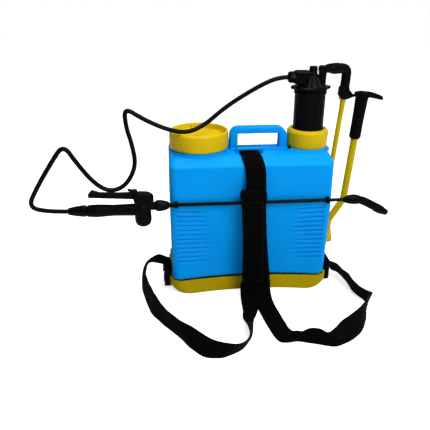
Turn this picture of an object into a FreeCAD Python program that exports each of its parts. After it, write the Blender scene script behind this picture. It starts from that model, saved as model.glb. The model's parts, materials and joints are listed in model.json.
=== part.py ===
"""Backpack sprayer: blue tank on a yellow base, piston pump with a sliding air chamber, side lever,
hose, trigger valve, lance and shoulder straps.

Frame, in millimetres: Z up, the origin on the floor under the middle of the tank, the strap side
faces -Y, and the pump lever stands at +X.
"""
import FreeCAD, Part
import math
import os
import re

import Sketcher
from FreeCAD import Placement, Rotation, Vector

# Driving sizes. Names ending in _x, _y or _z are places, _r are radii.
SIZES = {
    "tank_w": 370, "tank_d": 190, "tank_z": 38.5, "tank_top": 334, "tank_wall": 3,
    "tank_corner": 22, "tank_edge": 14, "front_dip": 17,
    "foot_x": 130, "foot_y": 50, "foot_r": 9, "foot_z": 20,
    "handle_left": -44, "handle_right": 92, "handle_top": 386, "handle_bar": 18,
    "handle_sill": 337, "handle_d": 24, "handle_round": 20,
    "recess_x": 31, "recess_w": 119, "recess_fall": 30,
    "bar_half": 31, "bar_y": -40, "bar_z": 340, "bar_t": 7,
    "lid_x": -113.5, "lid_r": 68, "lid_z": 341, "lid_top": 381, "lid_floor": 361, "lid_dish": 366,
    "neck_r": 62, "neck_top": 356, "ring_r": 66, "ring_top": 340, "vent_y": -28, "vent_r": 4,
    "basket_z": 272,
    "pump_x": 140, "pump_neck_r": 42, "pump_neck_top": 348, "collar_r": 47.5, "collar_z": 338.5,
    "collar_top": 380, "collar_lip": 372, "chamber_r": 34.6, "chamber_z": 300, "chamber_top": 466,
    "barrel_r": 17.5, "barrel_z": 62, "barrel_step": 236, "running": 0.06,
    "plunger_r": 9, "piston_z": 150, "piston_top": 168,
    "head_r": 38.5, "head_top": 519, "outlet_z": 495, "outlet_x": 87,
    "arm_r": 10.5, "arm_z": 510, "arm_x": 229.5, "arm_root": 171, "rod_y": 30,
    "pin_r": 3, "link_x": 228.5, "link_z": 440, "rod_r": 5.25,
    "base_w": 376, "base_d": 196, "base_top": 38, "base_round": 30, "base_wall": 4,
    "pivot_y": 91, "pivot_z": 48, "shaft_r": 8, "crank_x": 189, "crank_t": 3.5, "crank_r": 66,
    "crank_angle": 22, "crank_slot_r": 3.6, "crank_bar": 18, "pin_lift": 24.72, "rod_foot_x": 198.5,
    "bracket_x": 203, "bracket_t": 6, "bracket_y": 78, "bolt_z": 14, "hub_x": 226, "hub_r": 13,
    "lever_x": 240, "lever_z": 58, "knee_x": 276.4, "knee_z": 160, "tip_x": 296.3, "tip_z": 432,
    "lever_r": 8, "grip_r": 14.5, "grip_low": 166, "stop_at": 276, "stop_r": 18,
    "wand_y": -100, "lance_z": 237, "lance_r": 4, "lance_end": 214, "grip_z": 230,
    "valve_x": -244.7, "valve_r": 18.5, "trigger_x": -232, "trigger_z": 252, "latch_x": -260,
    "latch_z": 272.5, "nozzle_x": 246, "nozzle_bend": 27.6,
    "clip_x": 171, "clip_back": -91.5, "hook_x": 190, "hook_y": -37.5, "hook_top": 60,
    "web_w": 45, "web_t": 2, "pad_w": 57, "pad_t": 9, "pad_len": 215, "hose_r": 5,
}

# Hose route from the chamber outlet, over the lid, to the trigger valve.
HOSE_ROUTE = [
    (87, 0, 495), (77, 0, 495), (47, -2, 489), (-6, -6, 462), (-58, -14, 431), (-104, -29, 396),
    (-146, -46, 384), (-192, -51, 397), (-239, -47, 419), (-276, -43, 443), (-274, -50, 402),
    (-263, -60, 368), (-255, -76, 322), (-279, -92, 282), (-313, -100, 273), (-344, -102, 293),
    (-377, -103, 340), (-400, -104, 382), (-428, -104, 344), (-465, -103, 288), (-489, -101, 244),
    (-451, -100, 231), (-407, -100, 230),
]

doc = FreeCAD.newDocument("backpack_sprayer")
sheet = doc.addObject("Spreadsheet::Sheet", "Sizes")
for row, (alias, value) in enumerate(SIZES.items(), start=1):
    sheet.set(f"A{row}", alias)
    sheet.set(f"B{row}", str(value))
    sheet.setAlias(f"B{row}", alias)
doc.recompute()

nodes = []


def value(expression):
    """The number that an expression over the sheet's names stands for."""
    return float(sheet.evalExpression(str(expression)))


def bound(expression):
    """The same expression with every name looked up in the sheet."""
    return re.sub(r"[a-z][a-z0-9_]*", r"Sizes.\g<0>", str(expression))


def bind(thing, **fields):
    for field, expression in fields.items():
        thing.setExpression(field.replace("__", "."), bound(expression))
    return thing


def place(thing, x=0, y=0, z=0, rotation=None):
    at = Vector(value(x), value(y), value(z))
    thing.Placement = Placement(at, rotation or Rotation())
    return bind(thing, Placement__Base__x=x, Placement__Base__y=y, Placement__Base__z=z)


def about(axis, degrees):
    return Rotation(Vector(*axis), degrees)


ALONG_X = about((0, 1, 0), 90)
ALONG_Y = about((1, 0, 0), -90)


def keep(thing, label):
    """Marks a finished sub-part, which becomes a node of its own."""
    thing.Label = label
    nodes.append(thing)
    return thing


def cylinder(radius, height, x=0, y=0, z=0, rotation=None):
    thing = doc.addObject("Part::Cylinder", "Cylinder")
    bind(thing, Radius=radius, Height=height)
    return place(thing, x, y, z, rotation)


def block(low, high):
    """A box between two corners."""
    thing = doc.addObject("Part::Box", "Block")
    spans = [f"({b}) - ({a})" for a, b in zip(low, high)]
    bind(thing, Length=spans[0], Width=spans[1], Height=spans[2])
    return place(thing, *low)


def ball(radius, x, y, z):
    thing = doc.addObject("Part::Sphere", "Ball")
    bind(thing, Radius=radius)
    return place(thing, x, y, z)


def join(*things):
    fused = doc.addObject("Part::MultiFuse", "Join")
    fused.Shapes = list(things)
    return fused


def cut(base, *tools):
    for tool in tools:
        result = doc.addObject("Part::Cut", "Cut")
        result.Base = base
        result.Tool = tool
        base = result
    return base


def body(name):
    return doc.addObject("PartDesign::Body", name)


def sketch(owner, plane, height=0):
    drawn = owner.newObject("Sketcher::SketchObject", "Outline")
    role = next(item for item in owner.Origin.OriginFeatures if item.Role == plane)
    drawn.AttachmentSupport = (role, [""])
    drawn.MapMode = "FlatFace"
    drawn.AttachmentOffset = Placement(Vector(0, 0, value(height)), Rotation())
    drawn.setExpression("AttachmentOffset.Base.z", bound(height))
    return drawn


def fix_point(drawn, geometry, end, point):
    """Ties one end of a line or arc to a place given by two expressions."""
    for kind, expression in zip(("DistanceX", "DistanceY"), point):
        tie = Sketcher.Constraint(kind, -1, 1, geometry, end, value(expression))
        index = drawn.addConstraint(tie)
        drawn.setExpression(f"Constraints[{index}]", bound(expression))


def polygon(drawn, points):
    """Closed outline of straight lines; each point is a pair of expressions."""
    corners = [Vector(value(a), value(b), 0) for a, b in points]
    first = drawn.GeometryCount
    count = len(corners)
    for index in range(count):
        line = Part.LineSegment(corners[index], corners[(index + 1) % count])
        drawn.addGeometry(line)
    for index in range(count):
        following = first + (index + 1) % count
        drawn.addConstraint(Sketcher.Constraint("Coincident", first + index, 2, following, 1))
        fix_point(drawn, first + index, 1, points[index])
    return drawn


def circle(drawn, radius, x, y):
    at = Vector(value(x), value(y), 0)
    index = drawn.addGeometry(Part.Circle(at, Vector(0, 0, 1), value(radius)))
    size = drawn.addConstraint(Sketcher.Constraint("Radius", index, value(radius)))
    drawn.setExpression(f"Constraints[{size}]", bound(radius))
    fix_point(drawn, index, 3, (x, y))
    return drawn


def plan_outline(drawn, width, depth):
    """Plan of the tank: a rectangle whose front is dished in one arc."""
    right, back = f"{width} / 2", f"{depth} / 2"
    corners = [(f"-{right}", f"-{back}"), (f"-{right}", back), (right, back), (right, f"-{back}")]
    spots = [Vector(value(a), value(b), 0) for a, b in corners]
    for index in range(3):
        drawn.addGeometry(Part.LineSegment(spots[index], spots[index + 1]))
    middle = Vector(0, value(f"front_dip - {back}"), 0)
    drawn.addGeometry(Part.Arc(spots[3], middle, spots[0]))
    for index in range(3):
        fix_point(drawn, index, 1, corners[index])
    fix_point(drawn, 2, 2, corners[3])
    drawn.addConstraint(Sketcher.Constraint("Coincident", 0, 2, 1, 1))
    drawn.addConstraint(Sketcher.Constraint("Coincident", 1, 2, 2, 1))
    ends = (1, 2) if drawn.Geometry[3].StartPoint.x < 0 else (2, 1)
    drawn.addConstraint(Sketcher.Constraint("Coincident", 3, ends[0], 0, 1))
    drawn.addConstraint(Sketcher.Constraint("Coincident", 3, ends[1], 2, 2))
    radius = f"(({right}) * ({right}) + front_dip * front_dip) / (2 * front_dip)"
    size = drawn.addConstraint(Sketcher.Constraint("Radius", 3, value(radius)))
    drawn.setExpression(f"Constraints[{size}]", bound(radius))
    return drawn


def pad(owner, profile, length, both_ways=False):
    feature = owner.newObject("PartDesign::Pad", "Pad")
    feature.Profile = profile
    feature.Midplane = both_ways
    return bind(feature, Length=length)


def round_edges(owner, feature, radius, chosen):
    """Fillets the edges of a feature for which chosen(edge) holds."""
    doc.recompute()
    names = []
    for number, edge in enumerate(feature.Shape.Edges, start=1):
        if chosen(edge):
            names.append(f"Edge{number}")
    fillet = owner.newObject("PartDesign::Fillet", "Fillet")
    fillet.Base = (feature, names)
    fillet.Radius = value(radius)
    return bind(fillet, Radius=radius)


def is_upright(edge):
    box = edge.BoundBox
    return box.XLength < 0.01 and box.YLength < 0.01


def lies_at(height):
    return lambda edge: abs(edge.BoundBox.ZMin - height) < 0.01 and edge.BoundBox.ZLength < 0.01


def turned(label, points, x=0, y=0, z=0, rotation=None):
    """A lathe part: points are (radius, height) pairs round its own Z axis."""
    owner = body(label)
    profile = polygon(sketch(owner, "XZ_Plane"), points)
    spun = owner.newObject("PartDesign::Revolution", "Spun")
    spun.Profile = profile
    spun.ReferenceAxis = (profile, ["V_Axis"])
    spun.Angle = 360
    return place(owner, x, y, z, rotation)


def ring(label, inner, outer, low, high, **where):
    corners = [(inner, low), (outer, low), (outer, high), (inner, high)]
    return keep(turned(label, corners, **where), label)


def plate(label, plane, points, thickness, x=0, y=0, z=0, rotation=None):
    """A flat part cut from sheet, centred on its plane."""
    owner = body(label)
    pad(owner, polygon(sketch(owner, plane), points), thickness, both_ways=True)
    return place(owner, x, y, z, rotation)


def bend_radius(before, at, after, share=0.45):
    turn = (at - before).getAngle(after - at)
    return share * min((at - before).Length, (after - at).Length) / math.tan(turn / 2)


def smooth_path(route, radii):
    """Straight runs joined by tangent arcs, one radius for each inner point."""
    points = [Vector(*point) for point in route]
    edges = []
    start = points[0]
    for before, at, after, radius in zip(points, points[1:], points[2:], radii):
        back, ahead = (before - at).normalize(), (after - at).normalize()
        turn = math.pi - back.getAngle(ahead)
        reach = radius * math.tan(turn / 2)
        first, last = at + back * reach, at + ahead * reach
        towards = (back + ahead).normalize()
        middle = at + towards * (radius / math.cos(turn / 2) - radius)
        edges += [Part.LineSegment(start, first).toShape(), Part.Arc(first, middle, last).toShape()]
        start = last
    edges.append(Part.LineSegment(start, points[-1]).toShape())
    return Part.Wire(edges)


def swept(label, path, section):
    """A solid made by carrying a closed section wire along a path."""
    thing = doc.addObject("Part::Feature", label)
    thing.Shape = path.makePipeShell([section], True, False)
    area, length = Part.Face(section).Area, path.Length
    print(label, "length", round(length, 1), "volume ratio", round(thing.Shape.Volume / area / length, 4))
    return thing


def round_section(path, radius):
    start, ahead = path.Edges[0].Vertexes[0].Point, path.Edges[0].tangentAt(0)
    return Part.Wire(Part.makeCircle(radius, start, ahead))


def tube_along(label, route, radii, radius):
    path = smooth_path(route, radii)
    return swept(label, path, round_section(path, radius))


def band_along(label, route, radii, width, thickness, across):
    """Flat webbing: the width lies along the axis `across`, the path stays square to it."""
    path = smooth_path(route, radii)
    wide = Vector(*across) * (width / 2)
    thin = Vector(*across).cross(path.Edges[0].tangentAt(0)).normalize() * (thickness / 2)
    start = path.Edges[0].Vertexes[0].Point
    corners = [start + wide + thin, start - wide + thin, start - wide - thin, start + wide - thin]
    section = Part.makePolygon(corners + corners[:1])
    return swept(label, path, section)


def vessel(name, inset):
    """The tank's outer shape with both necks, or, set in by the wall, the room inside it."""
    owner = body(name)
    plan = plan_outline(sketch(owner, "XY_Plane", f"tank_z + {inset}"),
                        f"(tank_w - 2 * {inset})", f"(tank_d - 2 * {inset})")
    shape = pad(owner, plan, f"tank_top - tank_z - 2 * {inset}")
    shape = round_edges(owner, shape, f"tank_corner - {inset}", is_upright)
    shape = round_edges(owner, shape, f"tank_edge - {inset}", lies_at(value(f"tank_top - {inset}")))
    start = f"tank_top - {inset} - 8"
    necks = (("neck_r", "lid_x", "neck_top"), ("pump_neck_r", "pump_x", "pump_neck_top"))
    for radius, x, top in necks:
        round_plan = circle(sketch(owner, "XY_Plane", start), f"{radius} - {inset}", x, 0)
        pad(owner, round_plan, f"{top} - ({start}) + {inset}")
    return owner


def finger_room(inset):
    """Slope behind the carry handle that leaves room for the fingers."""
    x, top = value("recess_x"), value("tank_top")
    back = value("tank_d / 2") + 1
    high = top - value(inset) + 1
    fall = value("recess_fall")
    start = value("handle_d / 2") - value(inset)
    slope = [(start, high), (start, top - value(inset)), (back, top - value(inset) - fall), (back, high)]
    return plate("finger_slope" + inset, "YZ_Plane", slope, f"recess_w + 2 * {inset}", x=x)


def tank():
    outside = cut(vessel("tank_outside", "0"), finger_room("0"))
    room = cut(vessel("tank_room", "tank_wall"), finger_room("tank_wall"))
    neck_ring = turned("neck_ring", [("neck_r - 1", "tank_top - 1"), ("ring_r", "tank_top - 1"),
                                     ("ring_r", "ring_top"), ("neck_r - 1", "ring_top")], x="lid_x")
    feet = []
    holes = []
    for x in ("-foot_x", "foot_x"):
        for y in ("-foot_y", "foot_y"):
            feet.append(cylinder("foot_r", "tank_z - foot_z + 1", x, y, "foot_z"))
            holes.append(cylinder(2.2, 14, x, y, "foot_z"))
    solid = join(outside, handle_loop(), strap_bar(), neck_ring, *feet)
    keep(cut(solid, room, *holes), "tank")


def handle_loop():
    owner = body("handle_loop")
    drawn = sketch(owner, "XZ_Plane")
    foot = "tank_top - 1"
    polygon(drawn, [("handle_left", foot), ("handle_right", foot),
                    ("handle_right", "handle_top"), ("handle_left", "handle_top")])
    left, right = "handle_left + handle_bar + 2", "handle_right - handle_bar - 2"
    top = "handle_top - handle_bar"
    polygon(drawn, [(left, "handle_sill"), (right, "handle_sill"), (right, top), (left, top)])
    loop = pad(owner, drawn, "handle_d", both_ways=True)
    top_z = value("handle_top")

    def top_corner(edge):
        box = edge.BoundBox
        return box.XLength < 0.01 and box.ZLength < 0.01 and abs(box.ZMin - top_z) < 0.01

    round_edges(owner, loop, "handle_round", top_corner)
    return owner


def strap_bar():
    """Low bridge at the foot of the carry handle; the strap passes under it."""
    owner = body("strap_bar")
    drawn = sketch(owner, "XZ_Plane")
    foot, top = "tank_top - 1", "bar_z + bar_t"
    polygon(drawn, [("-bar_half", foot), ("bar_half", foot), ("bar_half", top), ("-bar_half", top)])
    inner = "bar_half - 5"
    polygon(drawn, [(f"-({inner})", "tank_top"), (inner, "tank_top"),
                    (inner, "bar_z"), (f"-({inner})", "bar_z")])
    pad(owner, drawn, 8, both_ways=True)
    return place(owner, y="bar_y")


def base():
    plan = body("base_plan")
    shape = pad(plan, plan_outline(sketch(plan, "XY_Plane"), "base_w", "base_d"), "base_top")
    round_edges(plan, shape, "tank_corner + 3", is_upright)
    front = body("base_front")
    half = "base_w / 2"
    side = pad(front, polygon(sketch(front, "XZ_Plane"), [
        (f"-{half}", 0), (half, 0), (half, "base_top"), (f"-{half}", "base_top")]), "base_d", True)
    round_edges(front, side, "base_round",
                lambda edge: edge.BoundBox.ZMax < 0.01 and edge.BoundBox.XLength < 0.01)
    outer = doc.addObject("Part::Common", "base_outer")
    outer.Base = plan
    outer.Tool = front
    well = body("base_well")
    drawn = plan_outline(sketch(well, "XY_Plane", "base_wall"), "(base_w - 2 * base_wall)",
                         "(base_d - 2 * base_wall)")
    hollow = pad(well, drawn, "base_top")
    round_edges(well, hollow, "tank_corner", is_upright)
    well_front = body("well_front")
    inner = "base_w / 2 - base_wall"
    wall = pad(well_front, polygon(sketch(well_front, "XZ_Plane"), [
        (f"-({inner})", "base_wall"), (inner, "base_wall"), (inner, "base_top + 1"),
        (f"-({inner})", "base_top + 1")]), "base_d", True)
    low = value("base_wall")
    round_edges(well_front, wall, "base_round - base_wall",
                lambda edge: edge.BoundBox.ZMax < low + 0.01 and edge.BoundBox.XLength < 0.01)
    room = doc.addObject("Part::Common", "base_room")
    room.Base = well
    room.Tool = well_front
    shell = cut(outer, room)
    posts = []
    holes = []
    for x in ("-foot_x", "foot_x"):
        for y in ("-foot_y", "foot_y"):
            posts.append(cylinder("foot_r + 4", "base_top - 2", x, y, 2))
            holes.append(cylinder("foot_r + 0.1", "base_top", x, y, "foot_z"))
            holes.append(cylinder(2.6, 20, x, y, 5))
            holes.append(cylinder(5.5, 5.5, x, y, -0.5))
    lugs = []
    for side in (-1, 1):
        ends = sorted((side * 178, side * 206))
        lugs.append(block((ends[0], "hook_y - 14", 15), (ends[1], "hook_y + 14", 25)))
    corner = block((168, "bracket_y", 2), ("base_w / 2", "base_d / 2 - 2", "base_top"))
    tunnels = [cylinder(2.5, 40, 172, y, "bolt_z", ALONG_X) for y in ("bracket_y + 5", "bracket_y + 14")]
    keep(cut(join(shell, corner, *posts, *lugs), *holes, *tunnels), "base")


def base_screws():
    screws = []
    for x in ("-foot_x", "foot_x"):
        for y in ("-foot_y", "foot_y"):
            screws.append(cylinder(2.2, 27, x, y, 4.5))
            screws.append(cylinder(4.8, 3, x, y, 1.8))
    keep(join(*screws), "base_screws")


def filler():
    cap = turned("lid_shape", [
        (0, "lid_floor"), ("neck_r + 1.5", "lid_floor"), ("neck_r + 1.5", "lid_z"), ("lid_r", "lid_z"),
        ("lid_r", "lid_top - 4"), ("lid_r - 3", "lid_top"), ("lid_r - 6", "lid_top"),
        ("lid_r - 9", "lid_dish"), (0, "lid_dish")], x="lid_x")
    vent = cylinder("vent_r + 0.05", 12, "lid_x", "vent_y", "lid_floor - 3")
    keep(cut(cap, vent), "filler_lid")
    ring("lid_gasket", "neck_r - 4", "neck_r + 0.5", "neck_top + 2", "lid_floor", x="lid_x")
    keep(turned("vent_valve", [
        (0, "lid_floor - 9"), (2.6, "lid_floor - 9"), ("vent_r", "lid_floor - 2"),
        ("vent_r", "lid_dish"), ("vent_r + 2", "lid_dish"), ("vent_r + 2", "lid_dish + 2"),
        (0, "lid_dish + 2")], x="lid_x", y="vent_y"), "vent_valve")
    basket = turned("basket_shape", [
        (0, "basket_z"), (47, "basket_z"), ("neck_r - 5.5", "neck_top"), ("neck_r - 0.5", "neck_top"),
        ("neck_r - 0.5", "neck_top + 2"), ("neck_r - 7.6", "neck_top + 2"), (45, "basket_z + 2"),
        (0, "basket_z + 2")], x="lid_x")
    windows = []
    for step in range(8):
        spin = about((0, 0, 1), 45 * step + 22.5)
        corner = spin.multVec(Vector(20, -9, 0))
        window = block((0, 0, "basket_z + 12"), (40, 18, "neck_top - 14"))
        windows.append(place(window, f"lid_x + {corner.x}", corner.y, "basket_z + 12", spin))
    keep(cut(basket, join(*windows)), "strainer_basket")


def pump_fixed():
    at = {"x": "pump_x"}
    ring("collar_gasket", "pump_neck_r - 3", "pump_neck_r", "pump_neck_top", "pump_neck_top + 2", **at)
    keep(turned("pump_barrel", [
        ("pump_neck_r", "pump_neck_top + 5"), ("pump_neck_r", "pump_neck_top + 2"),
        (38.4, "pump_neck_top + 2"), (38.4, "barrel_step"), ("barrel_r + 3", "barrel_step - 8"),
        ("barrel_r + 3", "barrel_z"), ("barrel_r", "barrel_z"), ("barrel_r", "barrel_step - 5"),
        (35.7, "barrel_step + 3"), (35.7, "pump_neck_top + 5")], **at), "pump_barrel")
    ring("guide_bush", "chamber_r + running", "pump_neck_r + 0.3", "pump_neck_top + 5", "collar_lip", **at)
    keep(turned("pump_collar", [
        ("pump_neck_r + 0.6", "collar_z"), ("collar_r", "collar_z"), ("collar_r", "collar_top - 6"),
        ("collar_r - 1.5", "collar_top - 2.5"), ("collar_r - 4.5", "collar_top"),
        ("chamber_r + 1.4", "collar_top"), ("chamber_r + 1.4", "collar_lip"),
        ("pump_neck_r + 0.6", "collar_lip")], **at), "pump_collar")
    keep(turned("inlet_valve_seat", [
        (6, 48), (12, 48), (12, 56), ("barrel_r + 3", 56), ("barrel_r + 3", "barrel_z"),
        ("barrel_r - 0.05", "barrel_z"), ("barrel_r - 0.05", "barrel_z + 10"),
        (10, "barrel_z + 10"), (10, "barrel_z + 4.5"), (6, "barrel_z + 2")], **at), "inlet_valve_seat")
    keep(ball(7.5, "pump_x", 0, "barrel_z + 6.8"), "inlet_ball")
    sieve = turned("sieve_shape", [
        (12.05, 56), (17, 56), (17, 43), (0, 43), (0, 45), (15, 45), (15, 54), (12.05, 54)], **at)
    slots = [block(("pump_x - 20", -2, 47), ("pump_x + 20", 2, 52)),
             block(("pump_x - 2", -20, 47), ("pump_x + 2", 20, 52))]
    keep(cut(sieve, *slots), "suction_strainer")


def pump_moving():
    at = {"x": "pump_x"}
    keep(turned("air_chamber", [
        ("plunger_r", "chamber_z"), ("chamber_r", "chamber_z"), ("chamber_r", "chamber_top - 7"),
        ("chamber_r + 2", "chamber_top - 7"), ("chamber_r + 2", "chamber_top"),
        ("chamber_r - 3", "chamber_top"), ("chamber_r - 3", "chamber_z + 4"),
        ("plunger_r", "chamber_z + 4")], **at), "air_chamber")
    dome = turned("head_shape", [
        (4, "chamber_top"), ("head_r", "chamber_top"), ("head_r", "chamber_top + 7"),
        (31, "chamber_top + 11"), (15, "head_top - 19"), (9, "head_top - 16"), (9, "head_top"),
        (0, "head_top"), (0, "outlet_z + 4"), (4, "outlet_z + 4")], **at)
    wings = block(("pump_x - 44", -10, "chamber_top + 1"), ("pump_x + 44", 10, "chamber_top + 7"))
    lug = block((157.5, -9, "chamber_top + 5"), ("arm_root", 9, "head_top + 1.5"))
    spout = cylinder(8.5, 24, 106, 0, "outlet_z", ALONG_X)
    bore = cylinder(3.5, 36, 104, 0, "outlet_z", ALONG_X)
    flue = cylinder(4, 60, "pump_x", 0, "chamber_top - 30")
    socket = cylinder(5, 10, "arm_root - 9", 0, "arm_z", ALONG_X)
    keep(cut(join(dome, wings, lug, spout), bore, flue, socket), "chamber_head")
    keep(turned("outlet_nut", [
        (3.5, "outlet_x"), (8, "outlet_x"), (10.5, "outlet_x + 4"), (10.5, "outlet_x + 19"),
        (3.5, "outlet_x + 19")], z="outlet_z", rotation=ALONG_X), "outlet_nut")
    ring("dip_tube", 2.6, 4, "chamber_z + 12", "chamber_top", **at)
    ring("plunger_tube", 6.5, "plunger_r", "piston_top", "chamber_z + 4", **at)
    keep(turned("piston", [
        (5, "piston_z"), (16.4, "piston_z"), (16.4, "piston_z + 6"), (13, "piston_z + 6"),
        (13, "piston_z + 13"), (16.4, "piston_z + 13"), (16.4, "piston_top"), (5, "piston_top")],
        **at), "piston")
    ring("cup_seal", 13, "barrel_r - running", "piston_z + 6", "piston_z + 13", **at)
    keep(ball(5.8, "pump_x", 0, "piston_top + 3.3"), "outlet_ball")


def drive_arm():
    top, x, y = value("arm_z"), value("arm_x"), value("rod_y")
    root = value("arm_root")
    fork_x = value("link_x")
    route = [(root, 0, top), (x, y, top), (fork_x, y, 452)]
    tube = tube_along("arm_tube", route, [18], value("arm_r"))
    face = block(("arm_root - 14", -18, "arm_z - 14"), ("arm_root", 18, "arm_z + 14"))
    peg = cylinder(5, 12, "arm_root - 9", 0, "arm_z", ALONG_X)
    shoe = plate("arm_shoe", "XZ_Plane", [
        (216.5, 456), (216.5, 438.5), (236, 438.5), (255, 445), (255, 449), (241, 456)], 18, y="rod_y")
    gap = block(("link_x - 6.8", "rod_y - 12", "link_z - 12"), ("link_x + 6.8", "rod_y + 12", "link_z + 8"))
    hole = cylinder("pin_r", 22, "link_x - 13.5", "rod_y", "link_z", ALONG_X)
    keep(cut(join(cut(tube, face), peg, shoe), gap, hole), "drive_arm")
    shank = cylinder("pin_r", 20, "link_x - 12.1", "rod_y", "link_z", ALONG_X)
    cap = cylinder(5, 2, "link_x - 14.1", "rod_y", "link_z", ALONG_X)
    keep(join(shank, cap), "link_pin")


def link_rod():
    foot_z = "pivot_z + pin_lift"
    run = Vector(value("link_x") - value("rod_foot_x"), 0, value("link_z") - value(foot_z))
    lean = math.degrees(math.atan2(run.x, run.z))
    rod = cylinder("rod_r", run.Length, "rod_foot_x", "rod_y", foot_z, about((0, 1, 0), lean))
    eyes = [cylinder(6.8, 9, "link_x - 4.5", "rod_y", "link_z", ALONG_X),
            cylinder(7.5, 10.8, "rod_foot_x - 5", "rod_y", foot_z, ALONG_X)]
    holes = [cylinder("pin_r + running", 30, "link_x - 15", "rod_y", "link_z", ALONG_X),
             cylinder("pin_r", 30, "rod_foot_x - 15", "rod_y", foot_z, ALONG_X)]
    keep(cut(join(rod, *eyes), *holes), "link_rod")
    shank = cylinder("pin_r", 16.1, "crank_x - 0.2", "rod_y", foot_z, ALONG_X)
    cap = cylinder(6, 1.4, "rod_foot_x + 5.8", "rod_y", foot_z, ALONG_X)
    keep(join(shank, cap), "crank_pin")


def rocker():
    """Cross shaft with the slotted crank arm at its inner end; the slot is the linkage's open pivot."""
    angle = value("crank_angle")
    spin = about((1, 0, 0), 180 - angle)
    out = spin.multVec(Vector(0, 1, 0))

    def disc(distance, radius):
        y, z = f"pivot_y + ({distance}) * {out.y}", f"pivot_z + ({distance}) * {out.z}"
        return cylinder(radius, "crank_t", "crank_x", y, z, ALONG_X)

    def bar(start, end, width):
        thing = block((0, 0, 0), ("crank_t", f"({end}) - ({start})", width))
        side = spin.multVec(Vector(0, 0, -value(width) / 2))
        y = f"pivot_y + ({start}) * {out.y} + {side.y}"
        z = f"pivot_z + ({start}) * {out.z} + {side.z}"
        return place(thing, "crank_x", y, z, spin)

    arm = join(disc(0, 14), disc("crank_r", 10), bar(0, "crank_r", "crank_bar"))
    slot_ends = ("crank_r - 6", "crank_r + 1")
    slot = join(*[disc(end, "crank_slot_r") for end in slot_ends], bar(*slot_ends, "2 * crank_slot_r"))
    shaft = cylinder("shaft_r", "hub_x + 22 - crank_x", "crank_x", "pivot_y", "pivot_z", ALONG_X)
    keep(join(cut(arm, slot), shaft), "rocker_shaft")
    hub = cylinder("hub_r", 26, "hub_x", "pivot_y", "pivot_z", ALONG_X)
    socket = cylinder(11, 22, "lever_x", "pivot_y", 52)
    bore = cylinder("shaft_r", 22, "hub_x", "pivot_y", "pivot_z", ALONG_X)
    seat = cylinder("lever_r", 40, "lever_x", "pivot_y", "lever_z")
    keep(cut(join(hub, socket), bore, seat), "lever_hub")


def pivot_bracket():
    plate_end = "bracket_x + bracket_t"
    foot = block(("base_w / 2", "bracket_y", 4), (plate_end, "bracket_y + 26", 30))
    upright = block(("bracket_x", "bracket_y", 4), (plate_end, "bracket_y + 26", 58))
    boss = cylinder(13, "hub_x - 1 - bracket_x", "bracket_x", "pivot_y", "pivot_z", ALONG_X)
    bore = cylinder("shaft_r + 1.6", 40, "bracket_x - 5", "pivot_y", "pivot_z", ALONG_X)
    bolts = []
    tunnels = []
    for y in ("bracket_y + 5", "bracket_y + 14"):
        tunnels.append(cylinder(2.5, 40, 180, y, "bolt_z", ALONG_X))
        bolts.append(cylinder(2.5, 36, 173, y, "bolt_z", ALONG_X))
        bolts.append(cylinder(4, 3, plate_end, y, "bolt_z", ALONG_X))
    keep(cut(join(foot, upright, boss), bore, *tunnels), "pivot_bracket")
    ring("shaft_bush", "shaft_r + running", "shaft_r + 1.6", "bracket_x", "hub_x - 1",
         y="pivot_y", z="pivot_z", rotation=ALONG_X)
    keep(join(*bolts), "bracket_bolts")


def lever():
    y = value("pivot_y")
    knee = Vector(value("knee_x"), y, value("knee_z"))
    top = Vector(value("tip_x"), y, value("tip_z"))
    foot = (value("lever_x"), y, value("lever_z"))
    route = [foot, (foot[0], y, 99), tuple(knee), tuple(top)]
    keep(tube_along("lever_tube", route, [30, 34], value("lever_r")), "lever_tube")
    tilt = about((0, 1, 0), math.degrees(math.atan2(top.x - knee.x, top.z - knee.z)))
    at = {"x": "knee_x", "y": "pivot_y", "z": "knee_z", "rotation": tilt}
    keep(turned("hand_grip", [
        ("lever_r", "grip_low"), ("grip_r - 2.5", "grip_low"), ("grip_r", "grip_low + 4"),
        ("grip_r - 0.5", "stop_at"), ("lever_r", "stop_at")], **at), "hand_grip")
    dome = turned("stop_dome", [
        (0, "stop_at"), ("stop_r", "stop_at"), ("stop_r", "stop_at + 4"), (13, "stop_at + 8"),
        (0, "stop_at + 9.5")], **at)
    crown = knee + (top - knee).normalize() * (value("stop_at") + 2)
    guard = plate("stop_guard", "XY_Plane", [
        (-19, -8), (-8, -16), (14, -20), (36, -19.5), (50, -12), (54, 0),
        (50, 12), (36, 19.5), (14, 20), (-8, 16), (-19, 8)], 5,
        crown.x, crown.y, crown.z, about((0, 1, 0), 9))
    room = turned("grip_room", [
        (0, "stop_at - 15"), ("grip_r + 0.3", "stop_at - 15"), ("grip_r + 0.3", "stop_at"), (0, "stop_at")],
        **at)
    keep(cut(join(dome, guard), room), "hand_stop")


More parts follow.
